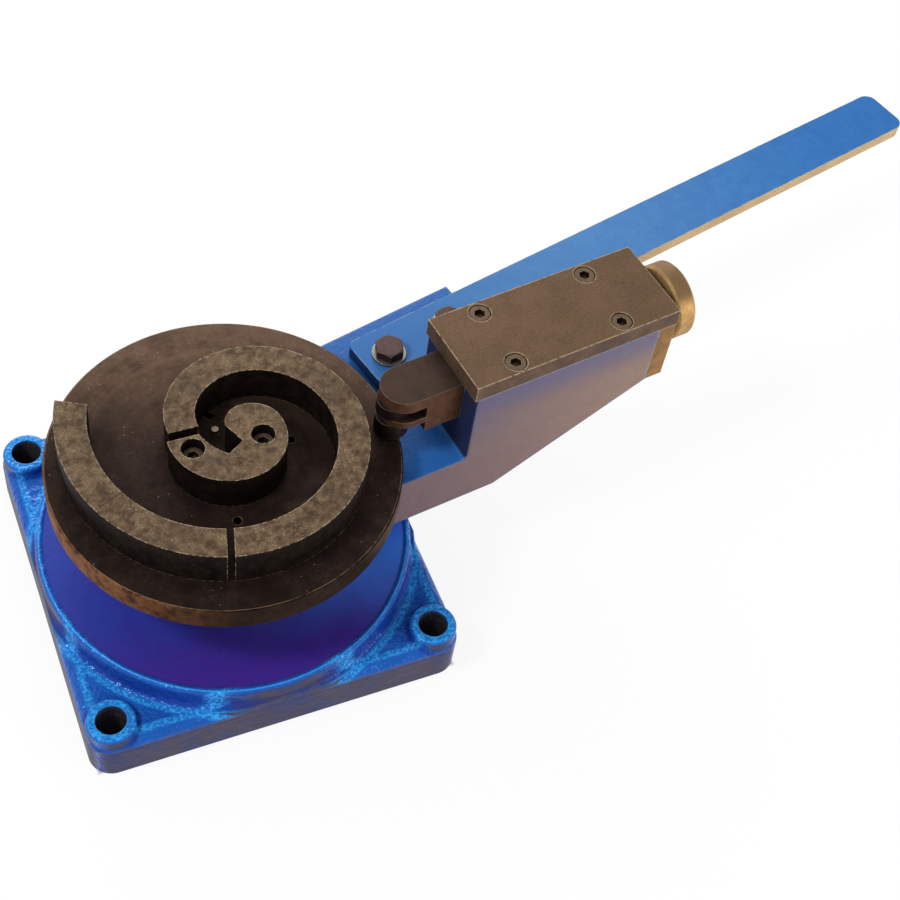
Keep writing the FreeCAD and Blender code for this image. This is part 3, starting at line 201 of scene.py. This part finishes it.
class Finish:
    """One node material, built from small sums of sockets."""

    def __init__(self, name):
        self.material = bpy.data.materials.new(name)
        self.material.use_nodes = True
        self.tree = self.material.node_tree
        self.tree.nodes.clear()
        self.place = self.add("ShaderNodeTexCoord")

    def add(self, kind, *values, **settings):
        node = self.tree.nodes.new(kind)
        for key, value in settings.items():
            setattr(node, key, value)
        for index, value in enumerate(values):
            self.feed(node.inputs[index], value)
        return node

    def feed(self, socket, value):
        if isinstance(value, bpy.types.NodeSocket):
            self.tree.links.new(value, socket)
        elif value is not None:
            socket.default_value = value

    def sum(self, operation, first, second=0.0):
        return self.add("ShaderNodeMath", first, second, operation=operation).outputs[0]

    def times(self, first, second):
        return self.sum("MULTIPLY", first, second)

    def plus(self, first, second):
        return self.sum("ADD", first, second)

    def less(self, first, second):
        return self.sum("SUBTRACT", first, second)

    def most(self, first, second):
        return self.sum("MAXIMUM", first, second)

    def size(self, value):
        return self.sum("ABSOLUTE", value)

    def length(self, first, second):
        return self.sum("SQRT", self.plus(self.times(first, first), self.times(second, second)))

    def step(self, value, low, high):
        """0 below low and 1 above high, or the other way round where high is the smaller."""
        node = self.add("ShaderNodeMapRange", value, low, high, 0.0, 1.0,
                        interpolation_type="SMOOTHSTEP")
        return node.outputs[0]

    def band(self, value, start, end, soft):
        """1 where the value lies between start and end."""
        return self.times(self.step(value, start - soft, start + soft),
                          self.step(value, end + soft, end - soft))

    def blend(self, share, first, second):
        node = self.add("ShaderNodeMix", data_type="RGBA")
        for index, value in ((0, share), (6, first), (7, second)):
            self.feed(node.inputs[index], (*value, 1.0) if isinstance(value, tuple) else value)
        return node.outputs[2]

    def paint(self, colour, tone, where, share):
        """The colour with some of this tone laid over it where the mask says."""
        return self.blend(self.times(where, share), colour, tone)

    def points(self, stretch=None):
        if stretch is None:
            return self.place.outputs["Object"]
        return self.add("ShaderNodeVectorMath", self.place.outputs["Object"], stretch,
                        operation="MULTIPLY").outputs[0]

    def axes(self):
        return self.add("ShaderNodeSeparateXYZ", self.points()).outputs

    def noise(self, size, detail=3.0, rough=0.55, stretch=None, points=None):
        node = self.add("ShaderNodeTexNoise")
        self.feed(node.inputs["Vector"], self.points(stretch) if points is None else points)
        node.inputs["Scale"].default_value = 1.0 / size
        node.inputs["Detail"].default_value = detail
        node.inputs["Roughness"].default_value = rough
        return node.outputs[0]

    def specks(self, size):
        node = self.add("ShaderNodeTexVoronoi")
        self.feed(node.inputs["Vector"], self.points())
        node.inputs["Scale"].default_value = 1.0 / size
        return node.outputs["Distance"]

    def facing(self, direction):
        node = self.add("ShaderNodeVectorMath", self.place.outputs["Normal"], direction,
                        operation="DOT_PRODUCT")
        return node.outputs["Value"]

    def upward(self, low=0.75, high=0.95):
        """1 on surfaces that face up."""
        return self.step(self.facing(UP), low, high)

    def reach(self):
        """Distance from the pivot's axis."""
        x, y, _ = self.axes()
        return self.length(x, y)

    def bolt_reach(self, place):
        """Distance from the axis of the nearest bolt hole."""
        x, y, _ = self.axes()
        return self.length(self.less(self.size(x), place), self.less(self.size(y), place))

    def convex_edges(self, width, low=0.12, high=0.4):
        """1 on convex edges within about this width."""
        node = self.add("ShaderNodeAmbientOcclusion", samples=6, inside=True, only_local=True)
        node.inputs["Distance"].default_value = width
        return self.step(self.less(1.0, node.outputs["AO"]), low, high)

    def shade_mask(self, width, low=0.3, high=0.8):
        """Mask of painted shade: 1 deep in corners and under neighbours."""
        node = self.add("ShaderNodeAmbientOcclusion", samples=6)
        node.inputs["Distance"].default_value = width
        return self.step(self.less(1.0, node.outputs["AO"]), low, high)

    def rounded(self, radius):
        """Normals of softly rounded edges."""
        node = self.add("ShaderNodeBevel", samples=4)
        node.inputs["Radius"].default_value = radius
        return node.outputs[0]

    def spot(self, place, radius):
        """1 within this distance of a place on the object."""
        node = self.add("ShaderNodeVectorMath", self.points(), place, operation="DISTANCE")
        return self.step(node.outputs["Value"], radius * 1.1, radius * 0.85)

    def line(self, start, end, width):
        """1 on a thin straight mark from start to end, seen from above."""
        x, y, _ = self.axes()
        length = math.dist(start, end)
        ahead = ((end[0] - start[0]) / length, (end[1] - start[1]) / length)
        away_x, away_y = self.less(x, start[0]), self.less(y, start[1])
        along = self.plus(self.times(away_x, ahead[0]), self.times(away_y, ahead[1]))
        across = self.less(self.times(away_y, ahead[0]), self.times(away_x, ahead[1]))
        inside = self.times(self.sum("GREATER_THAN", along, 0.0),
                            self.sum("LESS_THAN", along, length))
        return self.times(inside, self.step(self.size(across), width, width * 0.3))

    def bump(self, height, depth, strength, normal):
        node = self.add("ShaderNodeBump")
        node.inputs["Strength"].default_value = strength
        node.inputs["Distance"].default_value = depth
        self.feed(node.inputs["Height"], height)
        self.feed(node.inputs["Normal"], normal)
        return node.outputs[0]

    def uneven(self, low, spread, size):
        """Roughness from low to low + spread in patches of this size."""
        return self.plus(low, self.times(self.noise(size), spread))

    def close(self, colour, rough, normal, metal=0.0, gloss=0.5, sheen_tone=(1.0, 1.0, 1.0)):
        shader = self.add("ShaderNodeBsdfPrincipled")
        self.feed(shader.inputs["Base Color"], colour)
        self.feed(shader.inputs["Roughness"], rough)
        self.feed(shader.inputs["Normal"], normal)
        shader.inputs["Metallic"].default_value = metal
        shader.inputs["Specular IOR Level"].default_value = gloss
        shader.inputs["Specular Tint"].default_value = (*sheen_tone, 1.0)
        out = self.add("ShaderNodeOutputMaterial")
        self.tree.links.new(shader.outputs[0], out.inputs[0])
        return self.material


def grainy(finish, tones, size, share=0.5):
    """A colour broken up by cloudy patches and fine grain."""
    base, dark, light = tones
    cloud = finish.step(finish.noise(size, detail=5.0, rough=0.6), 0.35, 0.65)
    grain = finish.step(finish.noise(size * 0.06, detail=2.0, rough=0.6), 0.3, 0.7)
    patched = finish.paint(base, dark, cloud, share)
    return finish.paint(patched, light, grain, share * 0.6)


def mottled(finish, tones, size):
    """Worn oxide: dark clouds, and light fine rubbing where the clouds are thin."""
    base, dark, light = tones
    cloud = finish.noise(size, detail=6.0, rough=0.68)
    rub = finish.step(finish.noise(size * 0.09, detail=4.0, rough=0.7), 0.42, 0.72)
    patched = finish.blend(finish.step(cloud, 0.48, 0.66), base, dark)
    return finish.paint(patched, light, rub, finish.step(cloud, 0.56, 0.36))


def table_painted_light(finish, table):
    """Violet at the front of the table and blue at the back, brighter blue off it. The violet is
    a painted reflection, and the blue is painted darker on the left and lighter on the right as
    painted shade and light.
    """
    x, y, _ = finish.axes()
    bright = grainy(finish, TABLE_BRIGHT, 16.0 * MM)
    violet = grainy(finish, TABLE_VIOLET_REFLECTION, 22.0 * MM)
    left = grainy(finish, TABLE_LEFT_PAINTED_SHADE, 22.0 * MM)
    right = grainy(finish, TABLE_RIGHT_PAINTED_LIGHT, 22.0 * MM)
    # Painted shade on the left of the table and painted light on its right
    blue = finish.blend(finish.step(x, -40.0 * MM, 70.0 * MM), left, right)
    wavy = finish.plus(y, finish.times(finish.noise(40.0 * MM), 24.0 * MM))
    # Painted reflection: violet towards the front of the table
    flat = finish.blend(finish.step(wavy, -84.0 * MM, -20.0 * MM), violet, blue)
    return finish.blend(table, bright, flat)


def base_painted_highlights(finish, reach, bolt, outer, corners, bare):
    """Painted highlights: broken bright cyan lines around the pockets and the bosses, where
    nothing else covers them.
    """
    speckle = finish.step(finish.noise(1.8 * MM, detail=3.0, rough=0.6), 0.4, 0.62)
    painted_highlight = finish.most(finish.band(reach, *TABLE_HIGHLIGHT_BAND), finish.band(outer, *EDGE_HIGHLIGHT_BAND))
    painted_highlight = finish.times(finish.most(painted_highlight, finish.band(bolt, *BOSS_HIGHLIGHT_BAND)), corners)
    return finish.times(finish.times(painted_highlight, bare),
                        finish.plus(0.16, finish.times(speckle, 0.66)))


def base_colour(finish, reach, bolt, outer, corners, table, side_reflection):
    """Blue enamel: violet table with a painted reflection, painted cyan highlights, darker
    painted shade at the table's wall and the bosses' feet, and hazy painted reflection on the
    sides.
    """
    z = finish.axes()[2]
    colour = table_painted_light(finish, table)
    bare = finish.less(1.0, finish.most(table, side_reflection))
    painted_highlight = base_painted_highlights(finish, reach, bolt, outer, corners, bare)
    # Painted shade on the table's wall and around the bosses' feet
    wall_shade = finish.most(finish.band(reach, *TABLE_WALL_SHADE), finish.band(bolt, *BOSS_FOOT_SHADE))
    rim = finish.times(finish.band(reach, *TABLE_RIM), finish.step(z, 41.0 * MM, 42.0 * MM))
    off_table = finish.less(0.75, finish.times(table, 0.75))
    colour = finish.paint(colour, WALL_PAINTED_SHADE, wall_shade, off_table)
    # Painted highlights along the ridges and along the table's rim
    colour = finish.blend(painted_highlight, colour, RIDGE_PAINTED_HIGHLIGHT)
    colour = finish.paint(colour, RIM_PAINTED_HIGHLIGHT, rim, 0.85)
    # Painted reflection: a mottled brown and violet haze on the sides
    patches = finish.step(finish.noise(24.0 * MM, detail=4.0), 0.4, 0.62)
    return finish.blend(side_reflection, colour, finish.blend(patches, *BASE_SIDE_REFLECTION))


def base_side_reflection(finish, reach, outer, corners):
    """Mask of the painted reflection: 1 on the sides, and less on the strips between the corners.
    """
    side = finish.step(finish.facing(UP), 0.45, 0.1)
    side_reflection = finish.times(finish.times(side, finish.step(outer, *BASE_SIDE)), 0.9)
    between = finish.times(finish.less(1.0, corners), finish.step(reach, 109.4 * MM, 110.6 * MM))
    return finish.most(side_reflection, finish.times(between, 0.6))


def base_enamel():
    finish = Finish("base_enamel")
    x, y, z = finish.axes()
    reach = finish.reach()
    bolt = finish.bolt_reach(BOLT_PLACE)
    outer = finish.most(finish.size(x), finish.size(y))
    inner = finish.sum("MINIMUM", finish.size(x), finish.size(y))
    inner = finish.plus(inner, finish.times(finish.noise(9.0 * MM), 10.0 * MM))
    corners = finish.step(inner, 24.0 * MM, 42.0 * MM)
    table = finish.times(finish.step(z, TABLE_LEVEL, TABLE_LEVEL + 0.5 * MM),
                         finish.step(reach, TABLE_REACH, TABLE_REACH - 2.0 * MM))
    table = finish.times(table, finish.upward())
    side_reflection = base_side_reflection(finish, reach, outer, corners)
    # Painted shade deep inside the bolt holes
    bore_shade = finish.times(finish.step(bolt, BOLT_REACH + 0.3 * MM, BOLT_REACH),
                        finish.step(z, 38.0 * MM, 31.0 * MM))
    colour = base_colour(finish, reach, bolt, outer, corners, table, side_reflection)
    # Painted highlight: light cyan on convex edges
    edge = finish.times(finish.convex_edges(1.6 * MM, low=0.1, high=0.35),
                        finish.less(1.0, finish.most(side_reflection, bore_shade)))
    colour = finish.paint(colour, EDGE_PAINTED_HIGHLIGHT, edge, 0.6)
    # Painted shade: darker blue in corners and under neighbours
    colour = finish.paint(colour, CORNER_PAINTED_SHADE, finish.shade_mask(7.0 * MM, high=0.75), 0.5)
    colour = finish.blend(bore_shade, colour, BORE_PAINTED_SHADE)
    peel = finish.plus(finish.noise(5.5 * MM, detail=2.0, rough=0.5),
                       finish.times(finish.noise(2.0 * MM, detail=1.0, rough=0.4), 0.4))
    calm = finish.less(1.0, finish.most(finish.times(table, 0.9), finish.times(side_reflection, 0.8)))
    normal = finish.bump(finish.times(peel, calm), depth=1.8 * MM, strength=0.75,
                         normal=finish.rounded(1.5 * MM))
    rough = finish.plus(finish.times(table, 0.26), finish.uneven(0.1, 0.1, 9.0 * MM))
    rough = finish.plus(rough, finish.times(side_reflection, 0.35))
    return finish.close(colour, rough, normal, gloss=0.45, sheen_tone=BASE_SHEEN)


def arm_side_reflection(finish):
    """Painted reflection on the arm's sides: warm towards the knob, cool high up and near the
    former.
    """
    x, _, z = finish.axes()
    reflection = finish.blend(finish.step(x, 90.0 * MM, 290.0 * MM), *ARM_SIDE_REFLECTION)
    cool = finish.times(finish.step(z, 95.0 * MM, 140.0 * MM),
                        finish.step(x, 190.0 * MM, 110.0 * MM))
    cool = finish.most(cool, finish.step(z, 118.0 * MM, 148.0 * MM))
    reflection = finish.paint(reflection, ARM_COOL_REFLECTION, cool, 0.62)
    return finish.paint(reflection, ARM_REFLECTION_MOTTLE, finish.noise(10.0 * MM, detail=5.0, rough=0.65), 0.45)


def arm_enamel():
    finish = Finish("arm_enamel")
    z = finish.axes()[2]
    light = grainy(finish, ARM_TOP, 14.0 * MM)
    low = grainy(finish, ARM_LOW, 14.0 * MM)
    colour = finish.blend(finish.step(z, 92.0 * MM, 97.0 * MM), low, light)
    # Painted shade: near-black blue on walls facing the former
    front = finish.step(finish.facing(TO_FORMER), 0.6, 0.85)
    colour = finish.paint(colour, ARM_FRONT_PAINTED_SHADE, front, 0.93)
    # Painted reflection: warm and cool haze laid over the arm's sides
    side = finish.step(finish.size(finish.facing(TO_ARM_SIDE)), 0.45, 0.75)
    colour = finish.paint(colour, arm_side_reflection(finish), side, 0.94)
    # Painted highlight: light blue on convex edges
    edge = finish.times(finish.convex_edges(1.2 * MM), finish.step(finish.noise(5.0 * MM), 0.3, 0.55))
    colour = finish.paint(colour, ARM_EDGE_PAINTED_HIGHLIGHT, edge, 0.55)
    # Painted shade: darker blue in corners and under neighbours
    colour = finish.paint(colour, ARM_CORNER_PAINTED_SHADE, finish.shade_mask(10.0 * MM), 0.45)
    height = finish.plus(finish.noise(2.6 * MM, detail=2.0, rough=0.5),
                         finish.times(finish.noise(0.9 * MM, detail=1.0), 0.4))
    normal = finish.bump(height, depth=0.5 * MM, strength=0.4, normal=finish.rounded(1.4 * MM))
    rough = finish.plus(finish.uneven(0.24, 0.16, 7.0 * MM), finish.times(side, 0.25))
    return finish.close(colour, rough, normal, gloss=0.16)


def handle_enamel():
    """Blue bar, lighter towards its bolts with a painted sheen and dark close to them, with bare
    flanks and a painted shade on its inner end face.
    """
    finish = Finish("handle_enamel")
    x = finish.axes()[0]
    near = grainy(finish, HANDLE_NEAR_WITH_SHEEN, 9.0 * MM)
    far = grainy(finish, HANDLE_FAR, 9.0 * MM)
    # Painted sheen: lighter blue towards the bolts
    top = finish.blend(finish.step(x, 240.0 * MM, 520.0 * MM), near, far)
    top = finish.paint(top, HANDLE_SHADE, finish.step(x, 230.0 * MM, 110.0 * MM), 0.75)
    flank = finish.step(finish.size(finish.facing(UP)), 0.6, 0.2)
    end = finish.step(finish.size(finish.facing(TO_HANDLE_END)), 0.6, 0.8)
    bare = grainy(finish, HANDLE_BARE, 16.0 * MM)
    colour = finish.paint(top, bare, flank, finish.less(1.0, end))
    # Painted shade on the inner end face
    root_shade = finish.times(finish.step(finish.facing(TO_HANDLE_ROOT), 0.4, 0.7), 0.9)
    colour = finish.blend(root_shade, colour, HANDLE_ROOT_PAINTED_SHADE)
    edge = finish.times(finish.convex_edges(0.7 * MM), finish.step(finish.noise(6.0 * MM), 0.35, 0.6))
    colour = finish.paint(colour, HANDLE_EDGE, edge, finish.less(0.7, finish.times(root_shade, 0.7)))
    scuff = finish.noise(1.0 * MM, detail=3.0, rough=0.6)
    normal = finish.bump(scuff, depth=0.15 * MM, strength=0.3, normal=finish.rounded(0.8 * MM))
    return finish.close(colour, finish.uneven(0.34, 0.2, 6.0 * MM), normal, gloss=0.15)


def disc_top(finish, rings, ring_points):
    """Turned face: dark at the front, browner and lighter at the back as a painted sheen, with
    rings.
    """
    x, y, _ = finish.axes()
    deep = mottled(finish, DISC_DEEP, 14.0 * MM)
    pale = mottled(finish, DISC_PAINTED_SHEEN, 18.0 * MM)
    lean = finish.plus(y, finish.times(x, 0.25))
    wavy = finish.plus(lean, finish.times(finish.noise(45.0 * MM), 30.0 * MM))
    # Painted sheen: lighter and browner towards the back, where the broad patches also grow
    # stronger
    back = finish.step(wavy, 15.0 * MM, 115.0 * MM)
    top = finish.blend(back, deep, pale)
    broad = finish.noise(7.0 * MM, detail=2.0, rough=0.6, points=ring_points)
    broad = finish.step(broad, 0.4, 0.65)
    top = finish.paint(top, DISC_BROAD, broad, finish.plus(0.03, finish.times(back, 0.4)))
    return finish.paint(top, DISC_RING, finish.step(rings, 0.55, 0.75), 0.22)


def disc_rim(finish):
    """Dark oxide at the front and the right, rust at the left."""
    x = finish.axes()[0]
    wavy = finish.plus(x, finish.times(finish.noise(20.0 * MM), 30.0 * MM))
    return finish.blend(finish.step(wavy, -5.0 * MM, -75.0 * MM),
                        mottled(finish, DISC_RIM, 9.0 * MM), mottled(finish, DISC_RUST, 7.0 * MM))


def disc_steel():
    finish = Finish("disc_steel")
    ring_points = finish.add("ShaderNodeCombineXYZ", finish.reach(), 0.0, 0.0).outputs[0]
    rings = finish.noise(1.1 * MM, detail=2.0, rough=0.7, points=ring_points)
    upward = finish.upward()
    colour = finish.blend(upward, disc_rim(finish), disc_top(finish, rings, ring_points))
    pits = finish.step(finish.specks(6.0 * MM), 0.08, 0.03)
    colour = finish.paint(colour, DISC_PIT, pits, finish.times(upward, 0.6))
    lip = finish.times(upward, finish.band(finish.reach(), *DISC_LIP))
    edge = finish.times(finish.most(finish.convex_edges(0.9 * MM), lip),
                        finish.step(finish.noise(5.0 * MM, detail=4.0), 0.3, 0.55))
    colour = finish.paint(colour, DISC_EDGE, edge, 0.75)
    height = finish.plus(finish.times(rings, 0.6),
                         finish.times(finish.noise(0.7 * MM, detail=3.0), 0.5))
    normal = finish.bump(height, depth=0.12 * MM, strength=0.4, normal=finish.rounded(0.8 * MM))
    return finish.close(colour, finish.uneven(0.42, 0.2, 9.0 * MM), normal, metal=0.5,
                        gloss=0.08, sheen_tone=DISC_SHEEN)


def former_top(finish, scribed):
    """Worn top of the scroll: shaded, rusty and flecked patches, and scribed lines."""
    top = mottled(finish, FORMER_TOP, 5.0 * MM)
    shade = finish.step(finish.noise(26.0 * MM, detail=3.0, rough=0.6), 0.45, 0.7)
    top = finish.paint(top, FORMER_SHADE, shade, 0.5)
    rust = finish.step(finish.noise(7.0 * MM, detail=5.0, rough=0.7), 0.58, 0.72)
    top = finish.paint(top, FORMER_RUST, rust, 0.45)
    flecks = finish.times(finish.step(finish.noise(0.9 * MM, detail=3.0, rough=0.7), 0.58, 0.7),
                          finish.step(finish.noise(11.0 * MM, detail=3.0), 0.42, 0.62))
    top = finish.paint(top, FORMER_FLECK, flecks, 0.6)
    return finish.paint(top, SCRIBED, scribed, 0.7)


def former_steel():
    finish = Finish("former_steel")
    scribed = finish.most(finish.line(*OUTER_SCRIBE), finish.line(*MIDDLE_SCRIBE))
    wall = mottled(finish, FORMER_WALL, 7.0 * MM)
    colour = finish.blend(finish.upward(), wall, former_top(finish, scribed))
    edge = finish.times(finish.convex_edges(0.8 * MM),
                        finish.step(finish.noise(3.0 * MM, detail=4.0, rough=0.65), 0.42, 0.6))
    colour = finish.paint(colour, FORMER_EDGE, edge, 0.85)
    # Painted shade: a near-black spot for the small hole in the core
    colour = finish.blend(finish.spot(*CORE_DIMPLE), colour, DIMPLE_PAINTED_SHADE)
    height = finish.plus(finish.noise(1.2 * MM, detail=3.0, rough=0.6),
                         finish.times(finish.noise(5.0 * MM), 0.5))
    height = finish.plus(height, finish.times(scribed, -1.5))
    normal = finish.bump(height, depth=0.14 * MM, strength=0.45, normal=finish.rounded(0.7 * MM))
    return finish.close(colour, finish.uneven(0.42, 0.25, 4.0 * MM), normal, metal=0.5,
                        gloss=0.12)


def browned(name, tones, side, bright, patch, edge_width, shade_width):
    """Brown oxide steel: a top colour, a side colour and worn bright edges."""
    finish = Finish(name)
    top = grainy(finish, tones, patch, share=0.8)
    sides = (side, tuple(0.45 * c for c in side), tuple(1.6 * c for c in side))
    flank = grainy(finish, sides, patch * 0.7, share=0.8)
    colour = finish.blend(finish.upward(0.5, 0.85), flank, top)
    edge = finish.times(finish.convex_edges(edge_width), finish.step(finish.noise(3.0 * MM), 0.33, 0.5))
    colour = finish.paint(colour, bright, edge, 0.8)
    # Painted shade: a dark side tone in corners and under neighbours
    colour = finish.paint(colour, tuple(0.15 * c for c in side), finish.shade_mask(shade_width), 0.7)
    height = finish.plus(finish.noise(0.8 * MM, detail=3.0, rough=0.6),
                         finish.times(finish.noise(4.0 * MM), 0.4))
    normal = finish.bump(height, depth=0.1 * MM, strength=0.35,
                         normal=finish.rounded(edge_width * 0.8))
    return finish.close(colour, finish.uneven(0.44, 0.2, 5.0 * MM), normal, metal=0.5, gloss=0.12)


def turned(name, tones, stretch):
    """Lathe-turned metal with fine marks across its length."""
    finish = Finish(name)
    light = tones[2]
    tone = grainy(finish, tones, 9.0 * MM, share=0.7)
    marks = finish.noise(0.5 * MM, detail=2.0, rough=0.6, stretch=stretch)
    tone = finish.paint(tone, light, finish.step(marks, 0.5, 0.75), 0.35)
    # Painted highlight: a brighter tone on convex edges
    shine = tuple(min(1.0, 1.5 * c) for c in light)
    tone = finish.paint(tone, shine, finish.convex_edges(0.5 * MM), 0.6)
    normal = finish.bump(marks, depth=0.06 * MM, strength=0.3, normal=finish.rounded(0.4 * MM))
    return finish.close(tone, finish.uneven(0.3, 0.2, 3.0 * MM), normal, metal=0.9, gloss=0.4)


def wear(node, material):
    """Give every slot of a CAD piece this material."""
    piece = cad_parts[node]
    if not piece.material_slots:
        piece.data.materials.append(material)
    for slot in piece.material_slots:
        slot.material = material


def dress():
    wear("base_casting", base_enamel())
    wear("arm_casting", arm_enamel())
    wear("handle_bar", handle_enamel())
    wear("former_disc", disc_steel())
    former = former_steel()
    for node in ("core_segment", "middle_segment", "outer_segment"):
        wear(node, former)
    for name, (*look, nodes) in BROWNED.items():
        steel = browned(name, *look)
        for node in nodes:
            wear(node, steel)
    for name, (*look, nodes) in TURNED.items():
        metal = turned(name, *look)
        for node in nodes:
            wear(node, metal)


def either(tree, first, second):
    node = tree.nodes.new("ShaderNodeMath")
    node.operation = "MAXIMUM"
    tree.links.new(first, node.inputs[0])
    tree.links.new(second, node.inputs[1])
    return node.outputs[0]


def seen(tree):
    """1 for rays that show the background: from the camera, or by reflection or glass."""
    path = tree.nodes.new("ShaderNodeLightPath").outputs
    shown = either(tree, path["Is Camera Ray"], path["Is Glossy Ray"])
    return either(tree, shown, path["Is Transmission Ray"])


def mixed(tree, share, first, second, target):
    """Send a mix of two shaders to the target socket."""
    node = tree.nodes.new("ShaderNodeMixShader")
    for socket, source in zip(node.inputs, (share, first, second)):
        tree.links.new(source, socket)
    tree.links.new(node.outputs[0], target)


def surroundings():
    """Soft world light, and plain white wherever the world itself is seen."""
    world = bpy.data.worlds.new("studio")
    world.use_nodes = True
    tree = world.node_tree
    tree.nodes.clear()
    shown = tree.nodes.new("ShaderNodeBackground")
    shown.inputs[0].default_value = WHITE
    lighting = tree.nodes.new("ShaderNodeBackground")
    lighting.inputs[0].default_value = WORLD_TONE
    lighting.inputs[1].default_value = WORLD_LIGHT
    out = tree.nodes.new("ShaderNodeOutputWorld")
    mixed(tree, seen(tree), lighting.outputs[0], shown.outputs[0], out.inputs[0])
    bpy.context.scene.world = world


def floor_tone(tree):
    """Pale floor, with a painted shadow where the base stands on it."""
    place = tree.nodes.new("ShaderNodeTexCoord")
    parts = tree.nodes.new("ShaderNodeSeparateXYZ")
    tree.links.new(place.outputs["Object"], parts.inputs[0])
    sizes = []
    for axis in (0, 1):
        size = tree.nodes.new("ShaderNodeMath")
        size.operation = "ABSOLUTE"
        tree.links.new(parts.outputs[axis], size.inputs[0])
        sizes.append(size.outputs[0])
    tone = tree.nodes.new("ShaderNodeMapRange")
    for index, value in enumerate((*COVERED_REACH, COVERED_PAINTED_SHADOW, FLOOR_TONE), start=1):
        tone.inputs[index].default_value = value
    tree.links.new(either(tree, *sizes), tone.inputs[0])
    return tone.outputs[0]


def floor_material():
    """Matte for light and shadow, mostly glowing where it is seen, so that it stays white."""
    material = bpy.data.materials.new("floor_white")
    material.use_nodes = True
    tree = material.node_tree
    tree.nodes.clear()
    matte = tree.nodes.new("ShaderNodeBsdfDiffuse")
    glow = tree.nodes.new("ShaderNodeEmission")
    tone = floor_tone(tree)
    tree.links.new(tone, matte.inputs[0])
    tree.links.new(tone, glow.inputs[0])
    share = tree.nodes.new("ShaderNodeMath")
    share.operation = "MULTIPLY"
    share.inputs[1].default_value = FLOOR_GLOW
    tree.links.new(seen(tree), share.inputs[0])
    out = tree.nodes.new("ShaderNodeOutputMaterial")
    mixed(tree, share.outputs[0], matte.outputs[0], glow.outputs[0], out.inputs[0])
    return material


def floor():
    mesh = bpy.data.meshes.new("floor")
    sides = ((-1, -1), (1, -1), (1, 1), (-1, 1))
    corners = [(FLOOR_REACH * x, FLOOR_REACH * y, 0.0) for x, y in sides]
    mesh.from_pydata(corners, [], [(0, 1, 2, 3)])
    mesh.materials.append(floor_material())
    piece = bpy.data.objects.new("floor", mesh)
    piece.location.z = FLOOR_LEVEL
    bpy.context.scene.collection.objects.link(piece)


def lamp(name, place, aim, size, power, tone):
    data = bpy.data.lights.new(name, "AREA")
    data.shape = "RECTANGLE"
    data.size, data.size_y = size
    data.energy = power
    data.color = tone
    piece = bpy.data.objects.new(name, data)
    piece.location = place
    towards = Vector(aim) - Vector(place)
    piece.rotation_euler = towards.to_track_quat("-Z", "Y").to_euler()
    bpy.context.scene.collection.objects.link(piece)


def camera():
    data = bpy.data.cameras.new("camera")
    data.sensor_width = CAMERA_SENSOR
    data.lens = CAMERA_LENS
    piece = bpy.data.objects.new("camera", data)
    piece.location = CAMERA_PLACE
    piece.rotation_euler = Euler(CAMERA_TURN, "XYZ")
    bpy.context.scene.collection.objects.link(piece)
    bpy.context.scene.camera = piece


camera()
surroundings()
floor()
for settings in LAMPS:
    lamp(*settings)
dress()
bpy.context.scene.view_settings.view_transform = "Standard"
